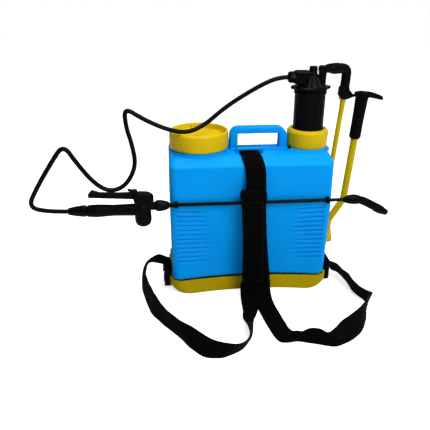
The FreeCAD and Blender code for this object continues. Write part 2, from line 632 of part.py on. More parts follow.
def trigger_valve():
    y = "wand_y"
    grip = cylinder(13.5, 104, -366, y, "grip_z", ALONG_X)
    cup = cylinder("valve_r", 37, "valve_x", y, 203)
    boss = cylinder(8.5, 14, -232, y, "lance_z", ALONG_X)
    cheeks = [block((-262, f"{y} + {side}", 236), (-224, f"{y} + {side} + 4", 262)) for side in (-12, 8)]
    roof = cylinder(12, 6, "valve_x", y, 239.5)
    well = cylinder(5, 36, "valve_x", y, 204)
    guide = cylinder("pin_r + running", 20, "valve_x", y, 235)
    passages = [cylinder(3, 120, -366.5, y, "grip_z", ALONG_X),
                cylinder(3, 28, "valve_x", y, "lance_z", ALONG_X)]
    pin_hole = cylinder("pin_r", 40, "trigger_x", f"{y} - 20", "trigger_z", ALONG_Y)
    keep(cut(join(grip, cup, boss, roof, *cheeks), well, guide, *passages, pin_hole), "valve_body")
    keep(turned("valve_cap", [
        (0, 191.6), (12, 191.6), (17, 195), ("valve_r", 199), ("valve_r", 203), (0, 203)],
        x="valve_x", y=y), "valve_cap")
    ring("valve_spring", 3.3, 4.6, 204, 222, x="valve_x", y=y)
    keep(turned("valve_plunger", [
        (0, 222), (4.6, 222), (4.6, 226), ("pin_r", 226), ("pin_r", 255), (0, 255)],
        x="valve_x", y=y), "valve_plunger")
    ring("plunger_seal", "pin_r + running", 5, 236, 240, x="valve_x", y=y)
    keep(cylinder("pin_r", 26, "trigger_x", f"{y} - 13", "trigger_z", ALONG_Y), "trigger_pin")


def trigger():
    y = "wand_y"
    blade = plate("trigger_blade", "XZ_Plane", [
        (-359, 270), (-358, 262), (-300, 258.5), (-262, 256.2), (-240, 255.4), (-237, 247),
        (-227, 247), (-226, 260), (-236, 267), (-262, 269), (-300, 269.5), (-353, 274)], 14, y=y)
    ears = [block((-264, f"{y} + {side}", 268), (-256, f"{y} + {side} + 1.8", 275.5)) for side in (-7, 5.2)]
    hole = cylinder("pin_r + running", 40, "trigger_x", f"{y} - 20", "trigger_z", ALONG_Y)
    peg = cylinder(1.2, 14, "latch_x", f"{y} - 7", "latch_z", ALONG_Y)
    keep(cut(join(blade, *ears, peg), hole), "trigger_lever")
    hook = plate("latch_blade", "XZ_Plane", [
        (-277, 278), (-272, 272), (-263, 270), (-259.5, 270), (-257.5, 271.5), (-257, 275), (-264, 276),
        (-272, 277)],
        9, y=y)
    peg_hole = cylinder(1.26, 40, "latch_x", f"{y} - 20", "latch_z", ALONG_Y)
    keep(cut(hook, peg_hole), "trigger_latch")


def lance():
    at = {"y": "wand_y", "rotation": ALONG_X}
    keep(turned("wand_hose_nut", [
        (3, -407), (7.5, -407), (10.5, -395), (13, -374), (13, -366.5), (3, -366.5)],
        z="grip_z", **at), "wand_hose_nut")
    keep(turned("lance_nut", [
        ("lance_r + 0.05", -218), (11.5, -218), (11.5, -204), (7, -188), ("lance_r + 0.05", -188)],
        z="lance_z", **at), "lance_nut")
    ring("lance", "lance_r - 1.4", "lance_r", -217.5, "lance_end", z="lance_z", **at)
    bend = about((0, 1, 0), 90 + value("nozzle_bend"))
    bulge = turned("elbow_bulge", [
        ("lance_r + 0.05", "lance_end - 5"), (7.5, "lance_end - 5"), (11, "lance_end + 3"),
        (11.8, "lance_end + 20"), (10, "lance_end + 36"), (0, "lance_end + 38"),
        (0, "lance_end + 0.2"), ("lance_r + 0.05", "lance_end + 0.2")], z="lance_z", **at)
    neck = turned("elbow_neck", [
        (0, 0), (9, 0), (9.6, 42), (6, 42), (6, 54), (0, 54)], "nozzle_x", "wand_y", "lance_z - 1", bend)
    keep(join(bulge, neck), "nozzle_elbow")
    keep(turned("nozzle_cap", [
        ("6 + running", 42.4), (10.4, 42.4), (10.4, 58), (7, 76), (1, 76), (1, 56), ("6 + running", 56)],
        "nozzle_x", "wand_y", "lance_z - 1", bend), "nozzle_cap")
    clips = []
    for middle in ("-clip_x", "clip_x"):
        jaw = block((f"{middle} - 4", "wand_y - 6", "lance_z - 6"),
                    (f"{middle} + 4", "clip_back", "lance_z + 6"))
        grip = cylinder("lance_r", 20, f"{middle} - 10", "wand_y", "lance_z", ALONG_X)
        mouth = block((f"{middle} - 10", "wand_y - 10", "lance_z - 2.8"),
                      (f"{middle} + 10", "wand_y", "lance_z + 2.8"))
        clips.append(cut(jaw, grip, mouth))
    keep(join(*clips), "lance_clips")


def strap_hooks():
    for name, side in (("left_strap_hook", -1), ("right_strap_hook", 1)):
        inner, outer = value("hook_x"), value("hook_x") + 14
        low_x, high_x = sorted((side * inner, side * outer))
        frame = block((low_x, "hook_y - 26", 9), (high_x, "hook_y + 26", "hook_top"))
        window = block((low_x - 1, "hook_y - 19", 13), (high_x + 1, "hook_y + 19", 27))
        slot = block((low_x - 1, "hook_y - 23", "hook_top - 19"), (high_x + 1, "hook_y + 23", "hook_top - 5"))
        keep(cut(frame, window, slot), name)


def straps():
    width, thick = value("web_w"), value("web_t")
    over = [(0, -27, 338.2), (0, -50, 336.8), (0, -74, 336.6), (0, -90, 320), (0, -98, 290), (0, -110, 257)]
    keep(band_along("top_webbing", over, [20, 20, 14, 30, 60], width, 3, (1, 0, 0)), "top_webbing")
    keep(cylinder(3, 56, -28, -27, 343.2, ALONG_X), "strap_keeper")
    half = value("pad_w") / 2
    pads = (("left_shoulder_pad", -2.5, "wand_y - 24.5", 1.6, 36),
            ("right_shoulder_pad", 0, "wand_y - 14.8", 5, 38))
    for name, x, front, slant, low in pads:
        pad_box = block((0, 0, 0), ("pad_w", "pad_t", "pad_len - 2"))
        tilt = about((0, 1, 0), -slant)
        top = Vector(x, 0, low + value("pad_len"))
        shift = top - tilt.multVec(Vector(half, 0, value("pad_len")))
        keep(place(pad_box, shift.x, front, shift.z, tilt), name)
    drop = [(0, -119, 33), (0, -125, 12), (0, -146, 2.2), (0, -190, 1.2), (0, -230, 1.2)]
    left = band_along("left_strap_run", drop, [18, 25, 150], 40, thick, (1, 0, 0))
    keep(place(left, x=-7), "left_strap_run")
    drop = [(0, -112, 34), (0, -119, 12), (0, -142, 2.2), (0, -200, 1.2), (0, -284, 1.2)]
    right = band_along("right_strap_run", drop, [18, 25, 150], 40, thick, (1, 0, 0))
    keep(place(right, x=24, rotation=about((0, 0, 1), 5.5)), "right_strap_run")
    loops = {
        "left_strap_loop": [(-207, -30), (-234, -8), (-254, -30), (-256, -70), (-245, -118), (-230, -180),
                            (-194, -228), (-150, -296), (-106, -333), (-62, -325), (-26, -288), (-14, -240)],
        "right_strap_loop": [(207, -34), (236, -18), (258, -44), (270, -84), (288, -118), (276, -160),
                             (250, -224), (210, -286), (156, -314), (104, -302), (52, -300)],
    }
    for name, plan in loops.items():
        route = [Vector(x, y, 22) for x, y in plan]
        radii = [bend_radius(*three) for three in zip(route, route[1:], route[2:])]
        route = [tuple(point) for point in route]
        keep(band_along(name, route, radii, 43, thick, (0, 0, 1)), name)


def hose():
    route = [Vector(*point) for point in HOSE_ROUTE]
    radii = [bend_radius(*three) for three in zip(route, route[1:], route[2:])]
    print("hose bend radii", [round(radius) for radius in radii])
    keep(tube_along("hose", HOSE_ROUTE, radii, value("hose_r")), "hose")


def write_parts():
    doc.recompute()
    for thing in doc.Objects:
        if "Invalid" in thing.State or "Error" in thing.State:
            raise RuntimeError(f"{thing.Name} ({thing.Label}) did not build: {thing.State}")
    os.makedirs("parts", exist_ok=True)
    for thing in nodes:
        shape = thing.Shape
        if shape.isNull() or not shape.isValid():
            raise RuntimeError(f"{thing.Label} has no valid shape")
        print(thing.Label, len(shape.Solids), round(shape.Volume / 1000, 2), "cm3")
        shape.exportStep(f"parts/{thing.Label}.step")


for build in (tank, base, base_screws, filler, pump_fixed, pump_moving, drive_arm, link_rod, rocker,
              pivot_bracket, lever, trigger_valve, trigger, lance, strap_hooks, straps, hose):
    build()
write_parts()
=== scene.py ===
"""Looks of the backpack sprayer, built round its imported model.

Shapes are written in millimetres in the model's own frame (+Z up, -Y the strap side, +X the lever
side), and piece() turns them into metres.
"""

import json
import math

import bmesh
import bpy
import numpy as np
from mathutils import Matrix, Vector

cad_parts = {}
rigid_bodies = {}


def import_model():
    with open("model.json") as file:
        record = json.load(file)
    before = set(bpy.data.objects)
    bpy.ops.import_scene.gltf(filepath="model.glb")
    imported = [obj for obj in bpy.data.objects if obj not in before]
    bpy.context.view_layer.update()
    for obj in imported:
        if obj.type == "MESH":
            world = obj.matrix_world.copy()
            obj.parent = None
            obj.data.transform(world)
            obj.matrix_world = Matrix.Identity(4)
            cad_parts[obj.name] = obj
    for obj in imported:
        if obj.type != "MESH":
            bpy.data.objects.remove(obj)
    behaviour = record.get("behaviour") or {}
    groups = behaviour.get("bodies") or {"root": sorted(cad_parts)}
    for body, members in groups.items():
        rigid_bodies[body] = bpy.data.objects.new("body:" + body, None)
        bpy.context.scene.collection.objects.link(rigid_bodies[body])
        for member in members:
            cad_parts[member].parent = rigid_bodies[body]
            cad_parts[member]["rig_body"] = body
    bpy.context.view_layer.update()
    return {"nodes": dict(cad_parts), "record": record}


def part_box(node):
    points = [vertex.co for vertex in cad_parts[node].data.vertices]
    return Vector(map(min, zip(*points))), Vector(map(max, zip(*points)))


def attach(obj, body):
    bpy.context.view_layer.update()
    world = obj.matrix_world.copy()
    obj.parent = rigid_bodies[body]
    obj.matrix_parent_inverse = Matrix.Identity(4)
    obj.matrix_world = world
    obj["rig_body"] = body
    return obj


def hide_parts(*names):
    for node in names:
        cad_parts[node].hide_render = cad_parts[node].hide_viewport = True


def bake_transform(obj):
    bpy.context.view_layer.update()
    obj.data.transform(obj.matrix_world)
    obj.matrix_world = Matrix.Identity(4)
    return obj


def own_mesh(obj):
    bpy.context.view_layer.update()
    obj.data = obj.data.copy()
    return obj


MM = 0.001
ALONG_X = (1, 0, 0)
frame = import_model()


# --- Reading the frame ---

def box(node):
    """Lowest and highest corner of a node, in millimetres."""
    low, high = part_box(node)
    return low / MM, high / MM


def middle(node):
    """Centre of a node's box, in millimetres."""
    low, high = box(node)
    return (low + high) / 2


# --- Outlines and shells ---
# A shell is a pair (vertices, faces). A piece is made of one or more shells.

def rounded(points, radii, steps=5, closed=False):
    """The polyline with each corner replaced by a circular arc of its radius."""
    points = [Vector(p) for p in points]
    count = len(points)
    if not hasattr(radii, "__len__"):
        radii = [radii] * count
    path = []
    for index, at in enumerate(points):
        inner = closed or 0 < index < count - 1
        before, after = points[index - 1], points[(index + 1) % count]
        if not inner or radii[index] <= 0:
            path.append(at)
            continue
        back, ahead = (before - at).normalized(), (after - at).normalized()
        turn = math.pi - back.angle(ahead)
        if turn < 0.02:
            path.append(at)
            continue
        reach = radii[index] * math.tan(turn / 2)
        reach = min(reach, 0.49 * (before - at).length, 0.49 * (after - at).length)
        first, last, weight = at + back * reach, at + ahead * reach, math.cos(turn / 2)
        for step in range(steps + 1):
            t = step / steps
            a, b, c = (1 - t) ** 2, 2 * t * (1 - t) * weight, t * t
            path.append((first * a + at * b + last * c) / (a + b + c))
    return path


def spread(path, spacing, closed=False):
    """The polyline with points added so that no step is longer than the spacing."""
    path = [Vector(p) for p in path]
    result = []
    ends = path[1:] + path[:1] if closed else path[1:]
    for start, end in zip(path, ends):
        count = max(1, math.ceil((end - start).length / spacing))
        result += [start.lerp(end, step / count) for step in range(count)]
    if not closed:
        result.append(path[-1])
    return result


def smooth_curve(points, steps=8):
    """Catmull-Rom curve through the points."""
    points = [Vector(p) for p in points]
    padded = [2 * points[0] - points[1]] + points + [2 * points[-1] - points[-2]]
    result = []
    for p0, p1, p2, p3 in zip(padded, padded[1:], padded[2:], padded[3:]):
        for step in range(steps):
            t = step / steps
            result.append(0.5 * (2 * p1 + (p2 - p0) * t + (2 * p0 - 5 * p1 + 4 * p2 - p3) * t ** 2
                                 + (3 * p1 - p0 - 3 * p2 + p3) * t ** 3))
    result.append(points[-1])
    return result


def skin(rings, caps=(True, True)):
    """Shell over rings of equally many points; caps close the first and last ring."""
    size = len(rings[0])
    vertices = [tuple(p) for ring in rings for p in ring]
    faces = []
    for row in range(len(rings) - 1):
        for column in range(size):
            a, b = row * size + column, row * size + (column + 1) % size
            faces.append((a, b, b + size, a + size))
    if caps[0]:
        faces.append(tuple(range(size - 1, -1, -1)))
    if caps[1]:
        last = (len(rings) - 1) * size
        faces.append(tuple(range(last, last + size)))
    return vertices, faces


def basis(axis):
    """Two directions square to the axis."""
    axis = Vector(axis).normalized()
    side = Vector((0, 1, 0)) if abs(axis.y) < 0.9 else Vector(ALONG_X)
    u = side.cross(axis).normalized()
    return u, axis.cross(u), axis


def lathe(profile, centre=(0, 0, 0), axis=(0, 0, 1), sides=72, shape=None):
    """Turns a profile of (radius, height) points round an axis. shape(angle, r, h) gives a new r."""
    u, v, w = basis(axis)
    centre = Vector(centre)
    rings = []
    for r, h in profile:
        ring = []
        for side in range(sides):
            angle = 2 * math.pi * side / sides
            radius = shape(angle, r, h) if shape else r
            ring.append(centre + w * h + (u * math.cos(angle) + v * math.sin(angle)) * radius)
        rings.append(ring)
    return skin(rings, caps=(profile[0][0] > 0, profile[-1][0] > 0))


def ribs(angle, count):
    """0 to 1 and back, count times round."""
    return 0.5 - 0.5 * math.cos(count * angle)


def turned(profile, radius, centre=(0, 0, 0), axis=(0, 0, 1), sides=72, shape=None):
    """Lathe with its profile's corners rounded."""
    path = rounded([(r, h, 0) for r, h in profile], radius)
    return lathe([(max(p.x, 0.01), p.y) for p in path], centre, axis, sides, shape)


def tube(path, radius, sides=20, flat=1.0, caps=(True, True)):
    """Round or oval tube along a path; radius is a number or a function of the share walked."""
    path = [Vector(p) for p in path]
    lengths = [0.0]
    for start, end in zip(path, path[1:]):
        lengths.append(lengths[-1] + (end - start).length)
    rings, across = [], None
    for index, at in enumerate(path):
        before, after = path[max(index - 1, 0)], path[min(index + 1, len(path) - 1)]
        ahead = (after - before).normalized()
        if across is None:
            across = basis(ahead)[0]
        across = (across - ahead * across.dot(ahead)).normalized()
        up = ahead.cross(across)
        r = radius(lengths[index] / lengths[-1]) if callable(radius) else radius
        ring = []
        for side in range(sides):
            angle = 2 * math.pi * side / sides
            ring.append(at + across * math.cos(angle) * r + up * math.sin(angle) * r * flat)
        rings.append(ring)
    return skin(rings, caps=caps)


def inset(outline, distance):
    """A closed planar outline (in x, y) moved inwards by a distance; it runs anticlockwise."""
    result = []
    for index, at in enumerate(outline):
        along = Vector(outline[(index + 1) % len(outline)]) - Vector(outline[index - 1])
        inwards = Vector((-along.y, along.x, 0)).normalized()
        result.append(Vector(at) + inwards * distance)
    return result


def slab(outline, low, high, edge, to_frame, steps=3):
    """A closed outline given thickness, with rounded edges. to_frame(x, y, height) places it."""
    rings = []
    for height, turns in ((low, range(steps + 1)), (high, range(steps, -1, -1))):
        for turn in turns:
            angle = math.pi / 2 * turn / steps
            inwards = edge * (1 - math.sin(angle))
            shift = edge * (1 - math.cos(angle))
            level = height + shift if height == low else height - shift
            rings.append([to_frame(p.x, p.y, level) for p in inset(outline, inwards)])
    return skin(rings)


def outline_of(points, radii, spacing=6):
    """Closed outline of (x, y) points with rounded corners."""
    return spread(rounded([(x, y, 0) for x, y in points], radii, closed=True), spacing, True)


def cut_out(points, radii, low, high, edge, to_frame, spacing=6, steps=3):
    """A slab from an outline's corners."""
    return slab(outline_of(points, radii, spacing), low, high, edge, to_frame, steps)


def in_xz(y):
    """Places a slab's outline in the XZ plane, its thickness along Y about y."""
    return lambda a, b, h: Vector((a, y - h, b))


def standing(a, b, h):
    """Places a slab's outline in the XY plane, its thickness along Z."""
    return Vector((a, b, h))


def bar_shell(low, high, edge):
    """A rectangular bar with rounded edges."""
    corners = [(low[0], low[1]), (high[0], low[1]), (high[0], high[1]), (low[0], high[1])]
    return cut_out(corners, edge, low[2], high[2], edge, standing)


def ribbon(first, second, thickness, wave=None):
    """Webbing between two edge curves, with rounded selvages. Returns a shell and its UVs."""
    rings, uvs = [], []
    walked = 0.0
    last = None
    across_steps = 8
    for index, (a, b) in enumerate(zip(first, second)):
        before, after = max(index - 1, 0), min(index + 1, len(first) - 1)
        ahead = ((first[after] + second[after]) - (first[before] + second[before])).normalized()
        across = b - a
        width = across.length
        normal = ahead.cross(across).normalized()
        centre = (a + b) / 2
        walked += (centre - last).length if last else 0.0
        last = centre
        ring, row = [], []
        for side in (1, -1):
            steps = range(across_steps + 1) if side > 0 else range(across_steps, -1, -1)
            for step in steps:
                share = step / across_steps
                edge = min(1.0, math.sin(math.pi * min(max(share, 0.03), 0.97)) * 3)
                lift = wave(walked, share) if wave else 0.0
                ring.append(a + across * share + normal * (side * thickness / 2 * edge + lift))
                row.append((share * width * MM, walked * MM))
        rings.append(ring)
        uvs.append(row)
    return skin(rings), [uv for row in uvs for uv in row]


# --- Pieces ---

SHARP = 38

def piece(name, shells, nodes=(), slot="black_plastic", body="tank_frame", look=None, sharp=SHARP,
          uvs=None):
    """One object from its shells, riding on a body and standing for some of its nodes.

    look names its material where that isn't the one that its slot has.
    """
    vertices, faces = [], []
    for more_vertices, more_faces in shells:
        start = len(vertices)
        vertices += [tuple(c * MM for c in v) for v in more_vertices]
        faces += [tuple(i + start for i in face) for face in more_faces]
    mesh = bpy.data.meshes.new(name)
    mesh.from_pydata(vertices, [], faces)
    tidy = bmesh.new()
    tidy.from_mesh(mesh)
    if uvs is None:
        bmesh.ops.remove_doubles(tidy, verts=tidy.verts, dist=0.00001)
        bmesh.ops.dissolve_degenerate(tidy, edges=tidy.edges, dist=0.000002)
    bmesh.ops.recalc_face_normals(tidy, faces=tidy.faces)
    tidy.to_mesh(mesh)
    tidy.free()
    if uvs is not None:
        layer = mesh.uv_layers.new(name="weave")
        for loop in mesh.loops:
            layer.data[loop.index].uv = uvs[loop.vertex_index]
    mesh.materials.append(MATERIALS[look or slot])
    mesh.shade_smooth()
    mesh.set_sharp_from_angle(angle=math.radians(sharp))
    thing = bpy.data.objects.new(name, mesh)
    bpy.context.scene.collection.objects.link(thing)
    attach(thing, body)
    if nodes:
        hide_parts(*nodes)
    return thing


# --- Materials ---

WAVE_BANDS = 6.2
DULL = 0.03

def new_material(name, colour, roughness):
    material = bpy.data.materials.new(name)
    material.use_nodes = True
    tree = material.node_tree
    shader = tree.nodes["Principled BSDF"]
    shader.inputs["Base Color"].default_value = (*colour, 1)
    shader.inputs["Roughness"].default_value = roughness
    return material, tree, shader


def add(tree, kind, **inputs):
    """A node with its inputs set, or linked where the value is another node's output."""
    node = tree.nodes.new(kind)
    for name, value in inputs.items():
        give(tree, node.inputs[name.replace("_", " ")], value)
    return node


def give(tree, socket, value):
    """Sets a socket, or links it where the value is an output."""
    if isinstance(value, bpy.types.NodeSocket):
        tree.links.new(value, socket)
    else:
        socket.default_value = value


def noise(tree, scale, detail, stretch=(1, 1, 1)):
    """Noise texture by place on the object."""
    where = add(tree, "ShaderNodeTexCoord").outputs["Object"]
    place = add(tree, "ShaderNodeMapping", Vector=where, Scale=stretch).outputs["Vector"]
    return add(tree, "ShaderNodeTexNoise", Vector=place, Scale=scale, Detail=detail).outputs["Fac"]


def span(tree, source, low, high, start=0.3, end=0.7):
    """Maps a texture's middle range to the range low to high."""
    return add(tree, "ShaderNodeMapRange", Value=source, From_Min=start, From_Max=end,
               To_Min=low, To_Max=high).outputs["Result"]


def shade_by(tree, shader, source, colour, darker, lighter):
    """Base colour that varies between two strengths of one colour."""
    ramp = add(tree, "ShaderNodeValToRGB", Fac=source)
    ramp.color_ramp.elements[0].color = (*[c * darker for c in colour], 1)
    ramp.color_ramp.elements[1].color = (*[min(1, c * lighter) for c in colour], 1)
    ramp.color_ramp.elements[0].position = 0.3
    ramp.color_ramp.elements[1].position = 0.7
    tree.links.new(ramp.outputs["Color"], shader.inputs["Base Color"])


def bump(tree, shader, source, distance, strength=1.0, under=None):
    """Relief from a texture, laid over the relief under it."""
    below = {"Normal": under} if under else {}
    normal = add(tree, "ShaderNodeBump", Height=source, Strength=strength, Distance=distance,
                 **below).outputs["Normal"]
    tree.links.new(normal, shader.inputs["Normal"])
    return normal


def plastic(name, colour, roughness, grain=0.00002, mottle=0.05, wave=0.0, scuffs=0.06, shine=0.05):
    """Moulded plastic: soft mottling, uneven gloss, fine grain and faint moulding waves."""
    material, tree, shader = new_material(name, colour, roughness)
    shader.inputs["Specular IOR Level"].default_value = shine
    shade_by(tree, shader, noise(tree, 14, 4), colour, 1 - mottle, 1 + mottle)
    scratched = noise(tree, 60, 5, (1, 1, 6))
    rough = span(tree, scratched, roughness - scuffs, roughness + scuffs)
    tree.links.new(rough, shader.inputs["Roughness"])
    normal = None
    if wave:
        normal = bump(tree, shader, noise(tree, 11, 1), wave)
    bump(tree, shader, noise(tree, 1400, 2), grain, 0.7, normal)
    return material


def crossed(tree, coordinates, directions, distortion):
    """Two sets of bands at right angles, led into one math node, which is returned."""
    where = add(tree, "ShaderNodeTexCoord").outputs[coordinates]
    weave = add(tree, "ShaderNodeMath")
    for index, (direction, per_metre) in enumerate(directions):
        wave = add(tree, "ShaderNodeTexWave", Vector=where, Scale=per_metre / WAVE_BANDS,
                   Distortion=distortion)
        wave.bands_direction = direction
        tree.links.new(wave.outputs["Fac"], weave.inputs[index])
    return weave


def woven(name, colour, rib):
    """Ribbed webbing, by the ribbon's own UVs in metres: u across, v along."""
    material, tree, shader = new_material(name, colour, 0.75)
    shader.inputs["Specular IOR Level"].default_value = 0.02
    weave = crossed(tree, "UV", (("X", 1 / rib), ("Y", 0.7 / rib)), 0.6)
    weave.operation = "MULTIPLY"
    fuzz = noise(tree, 260, 3)
    shade_by(tree, shader, fuzz, colour, 0.75, 1.5)
    normal = bump(tree, shader, fuzz, 0.0001, 0.4)
    bump(tree, shader, weave.outputs["Value"], 0.0004, 0.9, normal)
    return material


def cloth_cover(name, colour, thread=1100):
    """Plain fine weave for the padded pieces, by place, since they have no UVs."""
    material, tree, shader = new_material(name, colour, 0.82)
    shader.inputs["Specular IOR Level"].default_value = DULL
    weave = crossed(tree, "Object", (("X", thread), ("Z", thread)), 0.5)
    wear = noise(tree, 30, 4)
    shade_by(tree, shader, wear, colour, 0.7, 1.6)
    normal = bump(tree, shader, noise(tree, 45, 3), 0.0012, 0.5)
    bump(tree, shader, weave.outputs["Value"], 0.00025, 0.8, normal)
    return material


def metal(name, colour, roughness):
    """Brushed metal."""
    material, tree, shader = new_material(name, colour, roughness)
    shader.inputs["Metallic"].default_value = 1.0
    brushed = noise(tree, 300, 3, (1, 1, 30))
    tree.links.new(span(tree, brushed, roughness - 0.1, roughness + 0.12), shader.inputs["Roughness"])
    shade_by(tree, shader, noise(tree, 40, 3), colour, 0.85, 1.1)
    bump(tree, shader, brushed, 0.00002, 0.5)
    return material


def make_materials():
    """Materials by the name of the slot or of the look."""
    blue = plastic("tank_blue", (0.0003, 0.288, 0.80), 0.42, mottle=0.03, wave=0.0006, shine=DULL)
    return {
        "blue_plastic": blue,
        "yellow_plastic": plastic("cap_yellow", (0.63, 0.43, 0.0001), 0.32, mottle=0.04, wave=0.0004,
                                  shine=0.12),
        "base_yellow": plastic("base_yellow", (0.40, 0.29, 0.0006), 0.42, mottle=0.06, wave=0.0004,
                               shine=DULL),
        "black_plastic": plastic("fitting_black", (0.0012, 0.0012, 0.0014), 0.36, mottle=0.25,
                                 wave=0.0003),
        "grip_black": plastic("grip_black", (0.0016, 0.0016, 0.0016), 0.5, grain=0.00012, mottle=0.2,
                              shine=DULL),
        "white_plastic": plastic("natural_white", (0.72, 0.72, 0.68), 0.4),
        "rubber": plastic("gasket_rubber", (0.012, 0.012, 0.012), 0.7, mottle=0.2),
        "hose_rubber": plastic("hose_rubber", (0.0022, 0.0019, 0.0019), 0.32, mottle=0.25, wave=0.0006),
        "steel": metal("zinc_steel", (0.60, 0.60, 0.58), 0.35),
        "brass": metal("turned_brass", (0.72, 0.50, 0.20), 0.3),
        "yellow_paint": plastic("lever_paint", (0.50, 0.365, 0.0006), 0.38, mottle=0.12, wave=0.0003,
                                shine=DULL),
        "black_lance": plastic("lance_black", (0.0022, 0.0022, 0.0022), 0.32, mottle=0.2),
        "webbing": woven("black_webbing", (0.0012, 0.0012, 0.0014), 0.0011),
        "pad_fabric": cloth_cover("pad_cover", (0.0010, 0.0010, 0.0012)),
        "stitching": cloth_cover("black_thread", (0.016, 0.016, 0.017), 2500),
    }


MATERIALS = make_materials()


def dress_nodes():
    """Gives every node that stays its own material."""
    slots = {row["node"]: row["material_slot"] for row in frame["record"]["subparts"]}
    for node, thing in frame["nodes"].items():
        thing.data.materials.clear()
        thing.data.materials.append(MATERIALS[slots[node]])


# --- Camera, light and floor ---

FLOOR_GLOW = 0.75
CAMERA_PLACE = (-0.1890, -1.1928, 0.6904)
CAMERA_TURNS = (5.43, 23.65, 0.2)
CAMERA_LENS = 44.70
LAMP_TARGET = (0, 0, 0.2)
LAMPS = (
    ("key", (0.7, -1.5, 1.9), 0.9, 33),
    ("fill", (-0.3, -1.9, 1.0), 1.4, 3),
    ("top", (-0.1, 0.1, 2.1), 1.2, 26),
)


def make_camera():
    """The camera from its place and its turns to the right, down and anticlockwise, in degrees."""
    place = Vector(CAMERA_PLACE)
    yaw, pitch, roll = (math.radians(a) for a in CAMERA_TURNS)
    ahead = Vector((math.sin(yaw) * math.cos(pitch), math.cos(yaw) * math.cos(pitch), -math.sin(pitch)))
    level = Vector((math.cos(yaw), -math.sin(yaw), 0))
    upright = level.cross(ahead)
    right = level * math.cos(roll) + upright * math.sin(roll)
    up = upright * math.cos(roll) - level * math.sin(roll)
    data = bpy.data.cameras.new("camera")
    data.sensor_width = 36
    data.lens = CAMERA_LENS
    camera = bpy.data.objects.new("camera", data)
    axes = Matrix((right, up, -ahead)).transposed().to_4x4()
    camera.matrix_world = Matrix.Translation(place) @ axes
    bpy.context.scene.collection.objects.link(camera)
    bpy.context.scene.camera = camera


def make_stage():
    """Floor, backdrop and lamps."""
    reach = 6.0
    mesh = bpy.data.meshes.new("floor")
    corners = [(-reach, -reach, 0), (reach, -reach, 0), (reach, reach, 0), (-reach, reach, 0)]
    mesh.from_pydata(corners, [], [(0, 1, 2, 3)])
    floor = bpy.data.objects.new("floor", mesh)
    floor.location.z = -0.0004
    material, tree, shader = new_material("floor", (0.92, 0.92, 0.92), 0.9)
    shader.inputs["Specular IOR Level"].default_value = 0.1
    shader.inputs["Emission Color"].default_value = (1, 1, 1, 1)
    seen = tree.nodes.new("ShaderNodeLightPath")
    glow = tree.nodes.new("ShaderNodeMath")
    glow.operation = "MULTIPLY"
    glow.inputs[1].default_value = FLOOR_GLOW
    tree.links.new(seen.outputs["Is Camera Ray"], glow.inputs[0])
    tree.links.new(glow.outputs["Value"], shader.inputs["Emission Strength"])
    mesh.materials.append(material)
    bpy.context.scene.collection.objects.link(floor)
    make_world()
    for name, at, size, power in LAMPS:
        data = bpy.data.lights.new(name, "AREA")
        data.size = size
        data.energy = power
        lamp = bpy.data.objects.new(name, data)
        lamp.location = at
        lamp.rotation_euler = (Vector(LAMP_TARGET) - lamp.location).to_track_quat("-Z", "Y").to_euler()
        bpy.context.scene.collection.objects.link(lamp)


def make_world():
    """White backdrop for the camera, softer white light for everything else."""
    world = bpy.data.worlds.new("studio")
    world.use_nodes = True
    tree = world.node_tree
    soft = tree.nodes["Background"]
    soft.inputs["Color"].default_value = (1, 1, 1, 1)
    where = add(tree, "ShaderNodeTexCoord").outputs["Generated"]
    axes = add(tree, "ShaderNodeSeparateXYZ", Vector=where)
    shade = span(tree, axes.outputs["X"], 0.03, 0.42, -0.7, 0.3)
    tree.links.new(shade, soft.inputs["Strength"])
    backdrop = add(tree, "ShaderNodeBackground", Color=(1, 1, 1, 1), Strength=1.0)
    seen = add(tree, "ShaderNodeLightPath").outputs["Is Camera Ray"]
    mix = add(tree, "ShaderNodeMixShader", Fac=seen)
    tree.links.new(soft.outputs["Background"], mix.inputs[1])
    tree.links.new(backdrop.outputs["Background"], mix.inputs[2])
    tree.links.new(mix.outputs["Shader"], tree.nodes["World Output"].inputs["Surface"])
    bpy.context.scene.world = world
    bpy.context.scene.view_settings.view_transform = "Standard"


# --- Hose ---

HOSE_ROUTE = [
    (0.087, 0, 0.495), (0.077, 0, 0.495), (0.047, -0.002, 0.489), (-0.006, -0.006, 0.462),
    (-0.058, -0.014, 0.431), (-0.104, -0.029, 0.396), (-0.146, -0.046, 0.384),
    (-0.192, -0.051, 0.397), (-0.239, -0.047, 0.419), (-0.276, -0.043, 0.443),
    (-0.274, -0.050, 0.402), (-0.263, -0.060, 0.368), (-0.255, -0.076, 0.322),
    (-0.279, -0.092, 0.282), (-0.313, -0.100, 0.273), (-0.344, -0.102, 0.293),
    (-0.377, -0.103, 0.340), (-0.400, -0.104, 0.382), (-0.428, -0.104, 0.344),
    (-0.465, -0.103, 0.288), (-0.489, -0.101, 0.244), (-0.451, -0.100, 0.231),
    (-0.407, -0.100, 0.230),
]
HOSE_D = 0.010


def spline_points(route):
    """Points along the route's NURBS spline, in metres."""
    curve = bpy.data.curves.new("route", "CURVE")
    curve.dimensions = "3D"
    curve.resolution_u = 16
    spline = curve.splines.new("NURBS")
    spline.points.add(len(route) - 1)
    for point, place in zip(spline.points, route):
        point.co = (*place, 1)
    spline.order_u = 3
    spline.use_endpoint_u = True
    holder = bpy.data.objects.new("route", curve)
    bpy.context.scene.collection.objects.link(holder)
    bpy.context.view_layer.update()
    graph = bpy.context.evaluated_depsgraph_get()
    mesh = bpy.data.meshes.new_from_object(holder.evaluated_get(graph))
    points = [v.co.copy() for v in mesh.vertices]
    bpy.data.objects.remove(holder)
    return points


